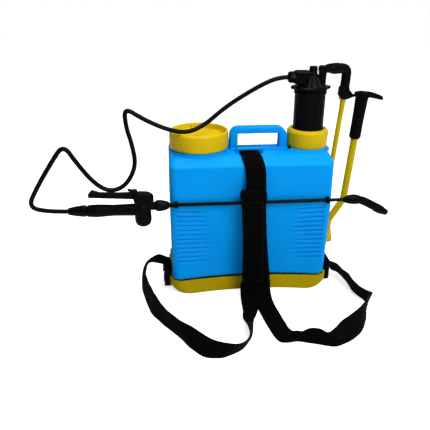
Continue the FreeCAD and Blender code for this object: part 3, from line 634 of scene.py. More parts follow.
def hose():
    """The hose from the pump's outlet to the valve along its route, a free piece on no body."""
    path = spline_points(HOSE_ROUTE)
    shell = tube([p / MM for p in path], HOSE_D / 2 / MM, 20)
    made = piece("hose_skin", [shell], ["hose"], slot="hose_rubber")
    made.parent = None
    del made["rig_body"]
    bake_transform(made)


# --- Tank and base ---

CORNER = 16
FRONT_STEPS = 150
GROOVE_FIRST = 90.5
GROOVE_PITCH = 11.6
GROOVES = 12
GROOVE_LEVELS = (-6.4, -5, -3.7, -2.4, -1.2, 0, 0.7, 1.4, 2.0, 3.2)
GROOVE_FALL = 0.06
FRONT_LOW = 75
FRONT_HIGH = 243
TANK_FOOT = 38.5
TANK_TOP = 334.0
SHOULDER = 60
FOOT_EDGE = 7
TOP_EDGE = 7
BACK_EDGE = 12
FRONT_DIP = 19
TAPER = 0.014
HANDLE_STEPS = 11
BASE_HALF = 188.0
BOAT_EDGE = 30


def plan(half, back, front, dip, corner=CORNER):
    """Plan of the tank at one height, anticlockwise: its front is dished by dip in the middle."""
    points = []
    for step in range(FRONT_STEPS + 1):
        x = (half - corner) * (2 * step / FRONT_STEPS - 1)
        points.append(Vector((x, front + dip * (1 - (x / half) ** 2), 0)))
    corner_dip = dip * (1 - ((half - corner) / half) ** 2)
    turns = [(half - corner, front + corner, -90, corner_dip), (half - corner, back - corner, 0, 0),
             (corner - half, back - corner, 90, 0), (corner - half, front + corner, 180, corner_dip)]
    for x, y, start, shift in turns:
        for step in range(1, 12):
            angle = math.radians(start + 90 * step / 12)
            fade = max(0, -math.sin(angle)) if shift else 0
            place = (x + corner * math.cos(angle), y + corner * math.sin(angle) + shift * fade, 0)
            points.append(Vector(place))
        if start == 0:
            points += [Vector((x * (1 - 2 * step / 30), back, 0)) for step in range(31)]
        if start in (-90, 90):
            ends = (front + corner, back - corner)
            first, last = ends if start == -90 else ends[::-1]
            side = half if start == -90 else -half
            points += [Vector((side, first + (last - first) * step / 14, 0)) for step in range(15)]
    return points


def bump_step(share):
    """0 below 0, 1 above 1 and a smooth rise between."""
    share = min(1.0, max(0.0, share))
    return share * share * (3 - 2 * share)


def edge_of(radius, past):
    """How far a rounded edge has drawn in at some distance past the start of its rounding."""
    return radius - math.sqrt(max(0, radius ** 2 - max(0, past) ** 2))


def tank_heights(floor, shoulder):
    """Heights of the tank's rings, close together where grooves and edges need them."""
    heights = [floor + FOOT_EDGE * (1 - math.cos(math.radians(a))) for a in (0, 20, 40, 60, 80)]
    heights += [floor + FOOT_EDGE + step * 8 for step in range(1, 4)]
    heights += [FRONT_LOW, 80]
    for index in range(GROOVES):
        heights += [GROOVE_FIRST + GROOVE_PITCH * index + off for off in GROOVE_LEVELS]
    heights += [228, 236, FRONT_HIGH, 250, 265, 280]
    heights += [p.y for p in shoulder[1:] if p.y < TANK_TOP - 0.05] + [TANK_TOP]
    return sorted(set(round(h, 3) for h in heights))


def tank_rings():
    """Plans of the tank from its foot to its top, with the grooves pressed into its front."""
    high = box("tank")[1]
    half, front, back = high.x, -high.y, high.y
    floor = box("base")[0].z + TANK_FOOT
    profile = [(0, 290, 0), (0, 319.5, 0), (27, TANK_TOP, 0), (SHOULDER, TANK_TOP, 0)]
    shoulder = rounded(profile, [0, 7, 6, 0], 7)
    rings = []
    for z in tank_heights(floor, shoulder):
        foot = edge_of(FOOT_EDGE, floor + FOOT_EDGE - z)
        into_front = np.interp(z, [p.y for p in shoulder], [p.x for p in shoulder])
        into_side = edge_of(TOP_EDGE, z - (TANK_TOP - TOP_EDGE))
        into_back = edge_of(BACK_EDGE, z - (TANK_TOP - BACK_EDGE))
        dip = FRONT_DIP - 16.5 * bump_step((z - 60) / 230)
        bow = 1.5 * math.sin(math.pi * min(1, (z - floor) / (TANK_TOP - floor)))
        ring = plan(half - 1.5 + bow - foot - into_side, back - foot - into_back,
                    front + foot + into_front, dip * (1 - into_front / SHOULDER))
        for point in ring:
            point.z = z
            if point.x > 0:
                point.x *= 1 - TAPER * max(0, (220 - z) / 180)
        fall = GROOVE_FALL * min(bump_step((z - FRONT_LOW) / 10), bump_step((FRONT_HIGH - z) / 15))
        for point in ring[:FRONT_STEPS + 1]:
            point.y += groove(point.x, z)
            point.z -= (half - abs(point.x)) * fall
        rings.append(ring)
    return rings


def groove(x, z):
    """Depth of the horizontal grooves on both sides of the lower front: steep above, gentle below."""
    nearest = round((z - GROOVE_FIRST + 1) / GROOVE_PITCH)
    if not 0 <= nearest < GROOVES:
        return 0.0
    off = z - GROOVE_FIRST - nearest * GROOVE_PITCH
    reach = 0.5 + 0.5 * math.sin(1.3 * nearest + (2 if x > 0 else 0))
    fade = bump_step((abs(x) - 84 - 12 * reach) / 34)
    wall = 1 - off / 1.4 if off > 0 else 1 + off / 5.0
    return 4.6 * fade * max(0.0, wall)


def handle_shell():
    """Carry handle: a loop with a rounder right shoulder, thicker at its feet."""
    outer = [(-44, 326), (92, 326), (91.5, 386.5), (-42.5, 386.5)]
    inner = [(-24.5, 338.5), (71.8, 338.5), (71.4, 370.5), (-24.5, 370.5)]
    outside = rounded([(x, z, 0) for x, z in outer], [1, 1, 27, 19], HANDLE_STEPS - 1, True)
    inside = rounded([(x, z, 0) for x, z in inner], [2, 2, 3, 3], HANDLE_STEPS - 1, True)
    stations = []
    for first in range(0, len(outside), HANDLE_STEPS):
        after = first + HANDLE_STEPS
        stations += zip(outside[first:after], inside[first:after])
        following = after % len(outside)
        for step in range(1, 8):
            t = step / 8
            stations.append((outside[after - 1].lerp(outside[following], t),
                             inside[after - 1].lerp(inside[following], t)))
    rings = []
    for outer_point, inner_point in stations:
        across = inner_point - outer_point
        thick = across.length
        depth = 12 - 0.8 * bump_step((outer_point.y - 360) / 20)
        section = rounded([(0, -depth, 0), (thick, -depth, 0), (thick, depth, 0), (0, depth, 0)],
                          [5, 3, 3, 5], 4, True)
        ring = []
        for p in section:
            at = outer_point + across * (p.x / thick)
            ring.append(Vector((at.x, p.y, at.y)))
        rings.append(ring)
    rings.append(rings[0])
    return skin(rings, caps=(False, False))


def tank():
    """Tank with its handle, the two necks, the handle's sill and the strap bridge."""
    lid_x, pump_x = middle("filler_lid").x, middle("pump_collar").x
    shells = [skin(tank_rings()), handle_shell()]
    collar = [(52, 325), (69.5, 331), (69.5, 336), (66.3, 337), (66.3, 340), (62, 341), (62, 352),
              (52, 352)]
    shells.append(turned(collar, 1.2, (lid_x, 0, 0)))
    boss = [(36, 320), (55, 331), (50, 335), (44, 339), (42, 346), (36, 346)]
    shells.append(turned(boss, 3, (pump_x, 0, 0)))
    sill = [(-44, -17), (92, -17), (92, 17), (-44, 17)]
    shells.append(cut_out(sill, 6, 330, 337.6, 2.2, standing))
    shells.append(bar_shell((-31, -44.5, 341), (31, -33.5, 347.5), 2.2))
    for x in (-31, 26):
        shells.append(bar_shell((x, -44, 331), (x + 5, -34, 345), 1.5))
    body = piece("tank_shell", shells[:1], ["tank"], slot="blue_plastic")
    carve(body, finger_room())
    piece("tank_fittings", shells[1:], slot="blue_plastic")


def finger_room():
    """Cutter for the slope behind the carry handle that leaves room for the fingers."""
    side = [(12, 345), (12, 334.5), (20, 331), (100, 303.5), (120, 345)]
    return cut_out(side, [0, 3, 12, 0, 0], -28.5, 77, 6,
                   lambda a, b, h: Vector((h + 0.15 * (a - 12), a, b)), 5, 6)


def carve(thing, shell):
    """Cuts a shell out of a piece."""
    cutter = piece("cutter", [shell], slot="blue_plastic")
    cutting = thing.modifiers.new("carve", "BOOLEAN")
    cutting.object = cutter
    cutting.solver = "MANIFOLD"
    graph = bpy.context.evaluated_depsgraph_get()
    carved = bpy.data.meshes.new_from_object(thing.evaluated_get(graph))
    thing.modifiers.clear()
    thing.data = carved
    bpy.data.objects.remove(cutter)
    carved.shade_smooth()
    carved.set_sharp_from_angle(angle=math.radians(SHARP))


def base():
    """Base with its boat-shaped lower edge, the hooks' seats and its ribs."""
    high = box("base")[1]
    front, back, top = -high.y, high.y, high.z
    rings = []
    levels = [(0, 2.2), (0.8, 0.6), (2.4, 0)] + [(2.4 + step * 2.3, 0) for step in range(1, 14)]
    levels += [(top - 1.6, 0), (top - 0.3, 0.7), (top, 2.0)]
    inner = [(top - 0.8, 3.6), (top - 3, 4), (top - 12, 4)]
    for z, inwards in levels + inner:
        boat = edge_of(BOAT_EDGE, BOAT_EDGE - z)
        ring = plan(BASE_HALF - boat - inwards, back - inwards - 0.25 * boat,
                    front + inwards + 0.12 * boat, FRONT_DIP - 1.5, 25)
        for point in ring:
            point.z = z
        rings.append(ring)
    shells = [skin(rings)]
    for side in (-1, 1):
        ends = sorted((side * 176, side * 206))
        shells.append(bar_shell((ends[0], -51.5, 14), (ends[1], -23.5, 26), 2.5))
        rib = sorted((side * 186, side * 190.5))
        for y in (-66, -8) if side > 0 else (-66, -8, 50):
            shells.append(bar_shell((rib[0], y - 3, 12), (rib[1], y + 3, 37), 1.2))
    piece("base_shell", shells, ["base"], slot="yellow_plastic", look="base_yellow")


# --- Filler lid and pump ---

def lid():
    """Ribbed cap with a dished top and eight fins in the dish."""
    low, high = box("filler_lid")
    centre = middle("filler_lid")
    radius, top, bottom = (high.x - low.x) / 2, high.z, low.z
    dish = 366.0

    def ribbed(angle, r, h):
        side = bottom + 5 < h < top - 6 and r > radius - 2
        return r - (0.22 * max(0, math.cos(60 * angle)) ** 2 if side else 0)

    profile = [(61, bottom + 12), (61, bottom), (radius - 1.2, bottom), (radius, bottom + 5),
               (radius, top - 6), (radius - 1.5, top), (radius - 6.5, top), (radius - 9.5, dish + 1.5),
               (0, dish)]
    at = (centre.x, centre.y, 0)
    cap = turned(profile, [0, 1, 3, 8, 8, 3.5, 2.5, 4, 0], at, sides=180, shape=ribbed)
    shells = [cap]
    for step in range(8):
        angle = math.radians(45 * step + 12)
        spin = Matrix.Rotation(angle, 3, "Z")
        corners = [(46, dish - 1), (60, dish - 1), (60, top - 4), (57.5, top - 5), (50, dish + 1)]
        shells.append(cut_out(corners, 0.8, -0.9, 0.9, 0.4,
                              lambda a, b, h: spin @ Vector((a, h, b)) + Vector(at), 4))
    piece("lid_cap", shells, ["filler_lid"], slot="yellow_plastic", body="lid")


def collar():
    """Ribbed ring that the air chamber slides in, with a small stop on its left."""
    low, high = box("pump_collar")
    centre = middle("pump_collar")
    radius, bottom, top = (high.x - low.x) / 2, low.z, high.z

    def ribbed(angle, r, h):
        side = bottom + 4 < h < top - 8 and r > radius - 3
        return r - (0.35 * ribs(angle, 54) if side else 0)

    profile = [(43, bottom + 8), (43, bottom), (radius - 2.2, bottom), (radius - 1.2, bottom + 5),
               (radius, top - 9), (radius, top - 6), (radius - 4, top), (36.2, top), (36.0, top - 8)]
    radii = [0, 0.8, 2.5, 6, 4, 6, 5, 1.5, 0]
    ring = turned(profile, radii, (centre.x, centre.y, 0), sides=216, shape=ribbed)
    piece("collar_ring", [ring], ["pump_collar"], slot="yellow_plastic")
    stop = bar_shell((centre.x - 47, -20, bottom - 3), (centre.x - 41, -13, bottom + 2.5), 0.8)
    piece("collar_stop", [stop])


def chamber():
    """Fluted air chamber with its upper rim."""
    x, wall = middle("air_chamber").x, 34.6

    def fluted(angle, r, h):
        fade = bump_step((h - 378) / 10) * bump_step((448 - h) / 8)
        return r - 0.9 * fade * (0.5 + 0.5 * math.cos(12 * angle)) ** 3 if r > 33 else r

    profile = [(20, 301), (34.4, 301), (wall, 372)]
    profile += [(wall, 376 + step * 3) for step in range(26)]
    profile += [(wall, 458.5), (36.6, 459.5), (36.6, 465.5), (30, 465.5)]
    body = turned(profile, 0.9, (x, 0, 0), sides=144, shape=fluted)
    piece("chamber_shell", [body], ["air_chamber"], body="pump")


def pump_head():
    """Casting on top of the air chamber."""
    x, top = middle("air_chamber").x, 466.0
    spigot_x, spigot_top = x + 4.5, 518.5
    corners = [(108, 44), (98, 22), (112, -20), (152, -31), (164, -24), (192, 20), (184, 34), (150, 44)]
    shells = [cut_out(corners, [8, 10, 12, 10, 5, 6, 10, 12], top, top + 6.5, 1.8,
                      lambda a, b, h: Vector((a, b * 0.86 - 1, h)))]
    rim = [(20, top + 2), (37.4, top + 2), (37.4, top + 7.5), (33, top + 10), (20, top + 10)]
    shells.append(turned(rim, 1.2, (x, 0, 0)))

    def gusseted(angle, r, h):
        return r * (1 + 0.10 * max(0, math.cos(6 * angle)) ** 6 * bump_step((r - 9) / 12))

    cone = [(26, top + 5), (32, top + 7), (27, top + 15), (18, top + 28), (11, top + 37), (8.2, top + 41),
            (7.2, spigot_top - 1), (6.4, spigot_top), (0, spigot_top)]
    shells.append(turned(cone, 2.5, (x + 2, 0, 0), sides=144, shape=gusseted))
    left, right = spigot_x - 7.4, spigot_x + 7.4
    spigot = [(left, -6.5), (right, -6.5), (right, 6.5), (left, 6.5)]
    shells.append(cut_out(spigot, 3, 496, spigot_top, 1.4, standing))
    lug = [(157.5, 452), (171.5, 452), (172, 500), (173.5, 519.5), (158, 519.5), (156, 511), (158, 500)]
    shells.append(cut_out(lug, [4, 4, 3, 3, 3, 3, 3], -9.5, 9.5, 2.2, in_xz(0)))
    block = [(101, 480.5), (134, 478), (150, 486), (150, 503), (131, 509.5), (101, 508.5)]
    shells.append(cut_out(block, 3, -13.5, 13.5, 4, in_xz(0)))
    shells.append(bar_shell((104, -7, 506), (124, 7, 510), 1.6))
    piece("head_casting", shells, ["chamber_head"], body="pump")


def outlet():
    """Hexagonal gland that the hose leaves the head by."""

    def hexed(angle, r, h):
        face = math.cos(math.pi / 6) / math.cos((angle + math.pi / 6) % (math.pi / 3) - math.pi / 6)
        return r * (0.35 + 0.65 * face) * 1.05 if r > 9 else r

    low, high = box("outlet_nut")
    nut = [(5.15, low.x + 0.5), (8.2, low.x - 0.2), (11.4, low.x + 1.5), (13.0, low.x + 5),
           (13.2, high.x - 1.5), (11, high.x - 0.5), (4, high.x - 0.5)]
    shell = turned(nut, 1.4, (0, 0, 495), ALONG_X, 72, hexed)
    piece("outlet_gland", [shell], ["outlet_nut"], body="pump")


ROD_Y = 30
ROD_R = 5.8


def drive_arm():
    """Swan-neck arm with a shoe-shaped foot that holds the link pin."""
    corners = [(168, 0, 511.5), (190, 8, 510.5), (214, 22, 510), (230.5, ROD_Y, 506),
               (229.5, ROD_Y, 478), (228, ROD_Y, 450)]
    route = spread(rounded(corners, [0, 30, 26, 19, 60, 0], 9), 3)

    def thickness(share):
        swell = bump_step((share - 0.10) / 0.14)
        return 8.0 + 3.2 * swell + 0.5 * math.sin(math.pi * min(1, share / 0.55))

    shells = [tube(route, thickness, 28, 0.94)]
    corners = [(216.5, 468), (215.0, 449), (222, 438), (236, 438), (250, 443.5), (255.5, 445),
               (255.5, 448.5), (246, 450), (240, 455), (239, 468)]
    radii = [3, 6, 5, 6, 4, 1.5, 1.5, 5, 7, 3]
    shells.append(cut_out(corners, radii, -9, 9, 4.2, in_xz(ROD_Y), 4, 4))
    rib = [(172, 0, 519.5), (186, 6, 521), (205, 17, 520.5)]
    shells.append(tube(smooth_curve(rib, 5), 2.6, 12))
    piece("arm_casting", shells, ["drive_arm"], body="pump")


# --- Lever side ---

LEVER_R = 8.9
LEVER_FOOT_X = 239.6
SHAFT_Y = 91
SHAFT_Z = 48

def link():
    """Rod from the crank to the arm, with an eye at each end, and the pin through its upper eye."""
    top, foot = Vector((228.5, ROD_Y, 440)), Vector((198.5, ROD_Y, 72.7))
    up = (top - foot).normalized()
    rod = tube([foot, foot.lerp(top, 0.3), foot.lerp(top, 0.6), top], ROD_R, 20, 0.92)
    shells = [rod]
    for at, radius, width in ((top, 6.6, 4.5), (foot, 7.5, 5)):
        eye = [(3.1, -width), (radius, -width), (radius, width), (3.1, width)]
        shells.append(turned(eye, 1.0, at, ALONG_X, 40))
    shells.append(tube([foot + up * 6, foot + up * 22], lambda s: 7.0 - 1.4 * s, 20, 0.9))
    shells.append(tube([top - up * 20, top - up * 5], lambda s: 5.9 + 0.9 * s, 20, 0.9))
    piece("rod_bar", shells, ["link_rod"], slot="yellow_paint", body="link")
    pin_end = box("link_pin")[1].x
    pin = turned([(0, 217.6), (2.9, 217.6), (2.9, pin_end), (0, pin_end)], 0.5,
                 (0, top.y, top.z), ALONG_X, 32)
    piece("link_hinge_pin", [pin], ["link_pin"], slot="steel", body="pump")


def lever():
    """Bent lever tube with its ribbed grip and the hand guard."""
    y = middle("lever_tube").y
    knee, tip = Vector((276.4, y, 160)), Vector((296.3, y, 432))
    route = rounded([(LEVER_FOOT_X, y, 58.5), (240.3, y, 99), tuple(knee), tuple(tip)], [0, 34, 40, 0], 9)
    shell = tube(spread(route, 8), LEVER_R, 28)
    piece("lever_bar", [shell], ["lever_tube"], slot="yellow_paint", body="rocker")
    up = (tip - knee).normalized()

    def ribbed(angle, r, h):
        band = 172 < h < 268
        return r - (0.35 * ribs(angle, 20) if band and r > 13 else 0)

    grip = [(9.0, 166), (12.0, 166), (14.6, 171), (14.2, 200), (14.6, 235), (15.6, 266), (17, 273),
            (9.0, 273)]
    sleeve = turned(grip, [0, 1.5, 2.5, 20, 20, 8, 2, 0], knee, up, 100, ribbed)
    piece("grip_sleeve", [sleeve], ["hand_grip"], body="rocker", look="grip_black")
    guard(knee, up)


def guard(knee, up):
    """Dome over the grip, with an oval finger guard on its outer side."""
    along = Vector((0, 1, 0)).cross(up)
    centre = knee + up * 276

    def place(a, b, h):
        droop = 0.0045 * max(0.0, a - 12) ** 2
        return centre + along * a + Vector((0, 1, 0)) * b + up * (h - droop)

    plate = [(-22, 0), (-17, -9.5), (-6, -17), (14, -21), (36, -20.5), (50, -13.5), (54.5, 0),
             (50, 13.5), (36, 20.5), (14, 21), (-6, 17), (-17, 9.5)]
    outline = spread(rounded([(a, b, 0) for a, b in plate], 14, 5, True), 3, True)
    shells = [slab(outline, -2.5, 4, 2.4, place)]
    rim = [place(p.x, p.y, 4.4) for p in inset(outline, 3.0)]
    shells.append(tube(rim + rim[:1], 2.2, 10, caps=(False, False)))
    dome = turned([(0, 9.5), (9, 8.6), (16, 3.5), (18.5, -1.5), (16.6, -4)], 5, centre, up, 64)
    shells.append(dome)
    piece("guard_plate", shells, ["hand_stop"], body="rocker", look="grip_black")


def lever_foot():
    """Hub on the cross shaft with the socket that holds the lever."""
    y = SHAFT_Y
    hub = [(8.1, 226), (12.6, 226), (13.2, 230), (13.2, 248), (11, 252), (0, 252)]
    barrel = turned(hub, 2.2, (0, y, SHAFT_Z), ALONG_X, 64)
    cup = [(9.0, 73.5), (10.4, 74), (11.4, 70), (12.2, 56), (12.2, 50)]
    socket = turned(cup, 1.2, (LEVER_FOOT_X, y, 0), sides=64)
    web = [(229, 50), (250, 50), (248, 62), (231, 62)]
    shells = [barrel, socket, cut_out(web, 3, -5, 5, 2, in_xz(y))]
    piece("lever_foot", shells, ["lever_hub"], slot="yellow_plastic", body="rocker")


def bracket():
    """Bracket on the base that carries the cross shaft."""
    low, high = box("pivot_bracket")
    corners = [(low.y, low.z), (high.y, low.z), (high.y, 50), (high.y - 7, 60.5), (low.y + 7, 60.5),
               (low.y, 50)]
    shells = [cut_out(corners, [4, 4, 8, 8, 8, 8], 203, 209, 1.4, lambda a, b, h: Vector((h, a, b)))]
    shells.append(bar_shell((187.2, low.y, low.z), (206, high.y, 30), 2))
    boss = [(9.7, 205), (13, 205), (13, 224), (11.8, 225), (9.7, 225)]
    shells.append(turned(boss, 0.8, (0, SHAFT_Y, SHAFT_Z), ALONG_X, 56))
    for y in (low.y + 3, high.y - 3):
        shells.append(cut_out([(188, 28), (204, 28), (204, 46)], 1.5, -1.8, 1.8, 0.7, in_xz(y)))
    piece("bracket_casting", shells, ["pivot_bracket"], slot="yellow_plastic", look="base_yellow")


# --- Trigger valve and lance ---

WAND_Y = -100.0
LANCE_Z = 237.0
VALVE_X = -244.7
SPRING_TURN_STEPS = 16
SPRING_TURNS = 6


def coil():
    """Wire of the valve's spring."""
    last = SPRING_TURNS * SPRING_TURN_STEPS
    path = []
    for step in range(last + 1):
        angle = 2 * math.pi * (step % SPRING_TURN_STEPS) / SPRING_TURN_STEPS
        swing = Vector((3.7 * math.cos(angle), 3.7 * math.sin(angle), 0))
        path.append(Vector((VALVE_X, WAND_Y, 204.9 + 16.2 * step / last)) + swing)
    return tube(path, 0.6, 8)


def trigger_valve():
    """Valve casting: its grip, the cup under it and the head that the trigger hangs in."""
    y = WAND_Y
    grip = [(4, -366), (11.6, -366), (13.2, -362), (14.2, -345), (13.6, -330), (12.4, -308), (13.0, -285),
            (13.6, -268), (13, -255), (8, -250)]
    shells = [turned(grip, 4, (0, y, 229.5), ALONG_X, 64)]
    cup = [(0, 190.6), (9, 191.2), (15.5, 195.5), (18.2, 203), (18.5, 215), (17.6, 217), (18.2, 219),
           (18.0, 240), (13, 244)]
    shells.append(turned(cup, [0, 6, 6, 5, 0.8, 0.8, 0.8, 4, 0], (VALVE_X, y, 0)))
    head = outline_of([(-262, 236), (-221, 236), (-220.5, 258), (-226, 264), (-234, 267.5), (-252, 268.5),
                       (-261, 266), (-264, 258), (-262, 248)], [3, 4, 6, 6, 8, 5, 4, 4, 4])
    shells.append(slab(head, -13, -8, 1.6, in_xz(y)))
    shells.append(slab(head, 8, 13, 1.6, in_xz(y)))
    bridge = [(-261, 232), (-221, 232), (-220.5, 245.3), (-261, 245.3)]
    shells.append(cut_out(bridge, 2, -12.5, 12.5, 3, in_xz(y)))
    neck = [(9.4, -226), (9.4, -219), (8.2, -217.5), (5, -217.5)]
    shells.append(turned(neck, 1, (0, y, LANCE_Z), ALONG_X, 48))
    piece("valve_casting", shells, ["valve_body", "valve_cap"])


def trigger():
    """Trigger blade with its crest and the ears that hold the latch, and the latch itself."""
    y = WAND_Y
    corners = [(-361, 268), (-359.5, 261.5), (-340, 260.5), (-300, 258), (-262, 255.5), (-241, 254.6),
               (-237, 247), (-227, 247), (-225, 262), (-234, 269), (-262, 269.6), (-300, 269.6),
               (-336, 271.5), (-352.5, 277.5)]
    radii = [2.5, 2, 10, 20, 12, 3, 3, 3, 6, 6, 12, 20, 8, 2]
    shells = [cut_out(corners, radii, -7, 7, 2.4, in_xz(y), 5)]
    crest = [(-345, 262.5), (-268, 259), (-268, 264.5), (-345, 268)]
    shells.append(cut_out(crest, 2, -8.6, 8.6, 1.6, in_xz(y)))
    for side in (-1, 1):
        corners = [(-266, 267), (-254, 267), (-255.5, 274), (-258, 276), (-262, 276), (-264.5, 274)]
        near, far = sorted((side * 5.2, side * 7))
        shells.append(cut_out(corners, 2, near, far, 0.6, in_xz(y), 3))
    piece("trigger_blade", shells, ["trigger_lever"], body="trigger")
    hook = outline_of([(-277.2, 278.6), (-272, 272.2), (-264, 270.2), (-259.8, 270.2), (-257.8, 271.7),
                       (-257.3, 274.9), (-264, 276.1), (-272, 277.2)], [1, 2, 2, 0.8, 0.8, 1, 2, 2], 2)
    piece("latch_hook", [slab(hook, -4.4, 4.4, 1, in_xz(y))], ["trigger_latch"], body="latch")


def spring():
    """Spring of the valve, given a mesh of its own."""
    made = piece("valve_coil", [coil()], ["valve_spring"], slot="steel")
    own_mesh(made)


def glands():
    """The two knurled nuts of the valve, for the hose and for the lance."""
    y = WAND_Y

    def knurled(angle, r, h):
        return r - (0.4 * ribs(angle, 18) if r > 8.5 else 0)

    rear = [(5.2, -405), (7.4, -406.5), (8.2, -403), (11, -389), (12.8, -374), (13, -367), (3.5, -367)]
    shell = turned(rear, 1.2, (0, y, 230), ALONG_X, 108, knurled)
    piece("hose_gland", [shell], ["wand_hose_nut"])
    front = [(4.2, -218), (9.5, -218), (12.8, -213), (12.6, -204), (10.4, -194), (7.2, -186.5),
             (4.2, -185.5)]
    shell = turned(front, [0, 1.5, 3, 4, 8, 2, 0], (0, y, LANCE_Z), ALONG_X, 108, knurled)
    piece("lance_gland", [shell], ["lance_nut"])


def lance():
    """Lance pipe with its ferrule, the bend and the spray tip."""
    y, z = WAND_Y, LANCE_Z
    tube_shell = tube([(-217, y, z), (-80, y, z), (60, y, z), (213.8, y, z)], 4.0, 28)
    piece("lance_pipe", [tube_shell], ["lance"], slot="black_lance")
    band = [(4.1, -184), (5.4, -183.4), (5.6, -178), (5.0, -171), (4.1, -170)]
    ferrule = turned(band, 0.8, (0, y, z), ALONG_X, 40)
    piece("lance_ferrule", [ferrule], slot="black_lance")

    path = smooth_curve([(206, y, z), (214, y, z), (232, y, z), (248, y, z - 2.5), (264, y, z - 9.5),
                         (280, y, z - 18), (284.5, y, z - 20.4)], 7)

    def girth(share):
        bulge = 6.8 * math.sin(math.pi * min(1, share / 0.62)) ** 0.8 if share < 0.62 else 0
        return max(4.6 + bulge, 9.6 * bump_step((share - 0.3) / 0.25))

    piece("nozzle_bend", [tube(path, girth, 40)], ["nozzle_elbow"])
    bend = math.radians(90 + 27.6)
    axis = Vector((math.sin(bend), 0, math.cos(bend)))

    def knurled(angle, r, h):
        return r - (0.5 * ribs(angle, 16) if r > 9 and 45 < h < 58 else 0)

    cap = [(6.06, 56), (6.06, 42.8), (9.8, 42.8), (10.6, 45), (10.2, 58), (8.6, 66), (6.2, 76),
           (2, 76.5), (1.2, 75), (0, 75)]
    shell = turned(cap, 0.8, (246, y, z - 1), axis, 96, knurled)
    piece("nozzle_tip", [shell], ["nozzle_cap"], body="spray_cap")


def clips():
    """Two clips that hold the stowed lance."""
    shells = []
    low, high = box("lance_clips")
    for x in (low.x + 4, high.x - 4):
        jaw = [(low.y, -6), (high.y, -6), (high.y, 6), (low.y, 6), (low.y + 1, 3.4),
               (WAND_Y - 2.6, 3.2), (WAND_Y + 1.2, 4.1), (WAND_Y + 4.1, 0), (WAND_Y + 1.2, -4.1),
               (WAND_Y - 2.6, -3.2), (low.y + 1, -3.4)]
        outline = spread(rounded([(y, z, 0) for y, z in jaw], 0.8, 4, True), 2, True)
        shells.append(slab(outline, x - 3.8, x + 3.8, 0.5, lambda a, b, h: Vector((h, a, LANCE_Z + b))))
    piece("clip_jaws", shells, ["lance_clips"])


# --- Straps ---

LEFT_OUTER = [
    (-207, -15, 48.5), (-196, -15, 48), (-188.4, -15, 51), (-187.4, -15, 57), (-190, -15, 62.5),
    (-198, -15, 65), (-207, -15, 69), (-218, -16, 72), (-236, -19, 65), (-250, -30, 55),
    (-258, -47, 34), (-259, -63, 17), (-256, -80, 3), (-247, -120, 1), (-234, -168, 1),
    (-206, -216, 1), (-177, -258, 1), (-152, -301, 1), (-128, -329, 1), (-104, -336, 1),
    (-80, -332, 1), (-50, -314, 1), (-26, -281, 1), (-15, -247, 1), (-9, -215, 1), (2, -190, 1),
    (11, -163, 1.2), (13, -145, 3.5), (14, -128, 12), (14, -120.6, 43),
]
LEFT_INNER = [
    (-207, -60, 48.5), (-196, -60, 48), (-188.4, -60, 51), (-187.4, -60, 57), (-190, -60, 62.5),
    (-198, -60, 65), (-207, -60, 69), (-218, -59, 71), (-234, -56, 72), (-243, -60, 68),
    (-247, -68, 52), (-246, -78, 47), (-241, -100, 45), (-233, -130, 45), (-222, -165, 45),
    (-204, -212, 45), (-176, -257, 45), (-146, -288, 44), (-118, -322, 43), (-92, -340, 43),
    (-64, -346, 42), (-44, -336, 41), (-33, -309, 39), (-34, -280, 37), (-38, -246, 31),
    (-34, -214, 17), (-28, -176, 3), (-27, -147, 4.5), (-27, -129, 13), (-27, -119.8, 43),
]
RIGHT_OUTER = [
    (190, -60, 44.5), (200, -60, 43.5), (205.5, -60, 38), (211, -59, 32), (223, -60, 26),
    (230, -75, 24), (235, -96, 22), (239, -114, 17), (243, -129, 12), (251, -143, 7),
    (260, -158, 5), (263, -172, 3), (259, -186, 2), (252, -204, 1), (241, -232, 1),
    (227, -259, 1), (206, -286, 1), (178, -307, 1), (149, -320, 1), (129, -317, 1),
    (112, -311, 1), (91, -303, 1), (70, -297, 1), (51, -299, 1), (36, -297, 1), (28, -285, 1),
    (22, -262, 1), (16, -228, 1), (10, -185, 1), (6, -150, 2), (4, -130, 9), (3, -117, 24),
    (3, -111.5, 44),
]
RIGHT_INNER = [
    (190, -18, 44.5), (200, -18, 43.5), (207, -17, 37), (222, -15, 32), (240, -18, 25),
    (250, -34, 17), (259, -56, 16), (264, -76, 9.5), (273, -96, 4.5), (283, -113, 4),
    (291, -136, 9), (281, -158, 22), (262, -186, 38), (238, -223, 44), (222, -241, 44),
    (205, -257, 44), (183, -275, 44), (159, -295, 44), (141, -315, 44), (126, -320, 38),
    (110, -313, 43), (89, -309, 42), (76, -307, 35), (69, -291, 25), (67, -275, 13),
    (65, -262, 5), (62, -244, 1.5), (59, -222, 1), (53, -180, 1), (49, -147, 2), (47, -128, 9),
    (46, -115, 24), (46, -110.5, 43),
]
WEB = 45.0


def crease(walked, share):
    """Small buckles across the webbing, so that it isn't a perfect strip."""
    buckle = 0.55 * math.sin(walked / 17) * math.sin(math.pi * share)
    return buckle + 0.35 * math.sin(walked / 7.3 + 4 * share)


def webbing(name, first, second, nodes, thickness=2.0, wave=crease):
    """A strap between its two edges, given as stations to be joined by smooth curves."""
    edge_a, edge_b = smooth_curve(first), smooth_curve(second)
    shell, uvs = ribbon(edge_a, edge_b, thickness, wave)
    made = piece(name, [shell], nodes, slot="webbing", sharp=60, uvs=uvs)


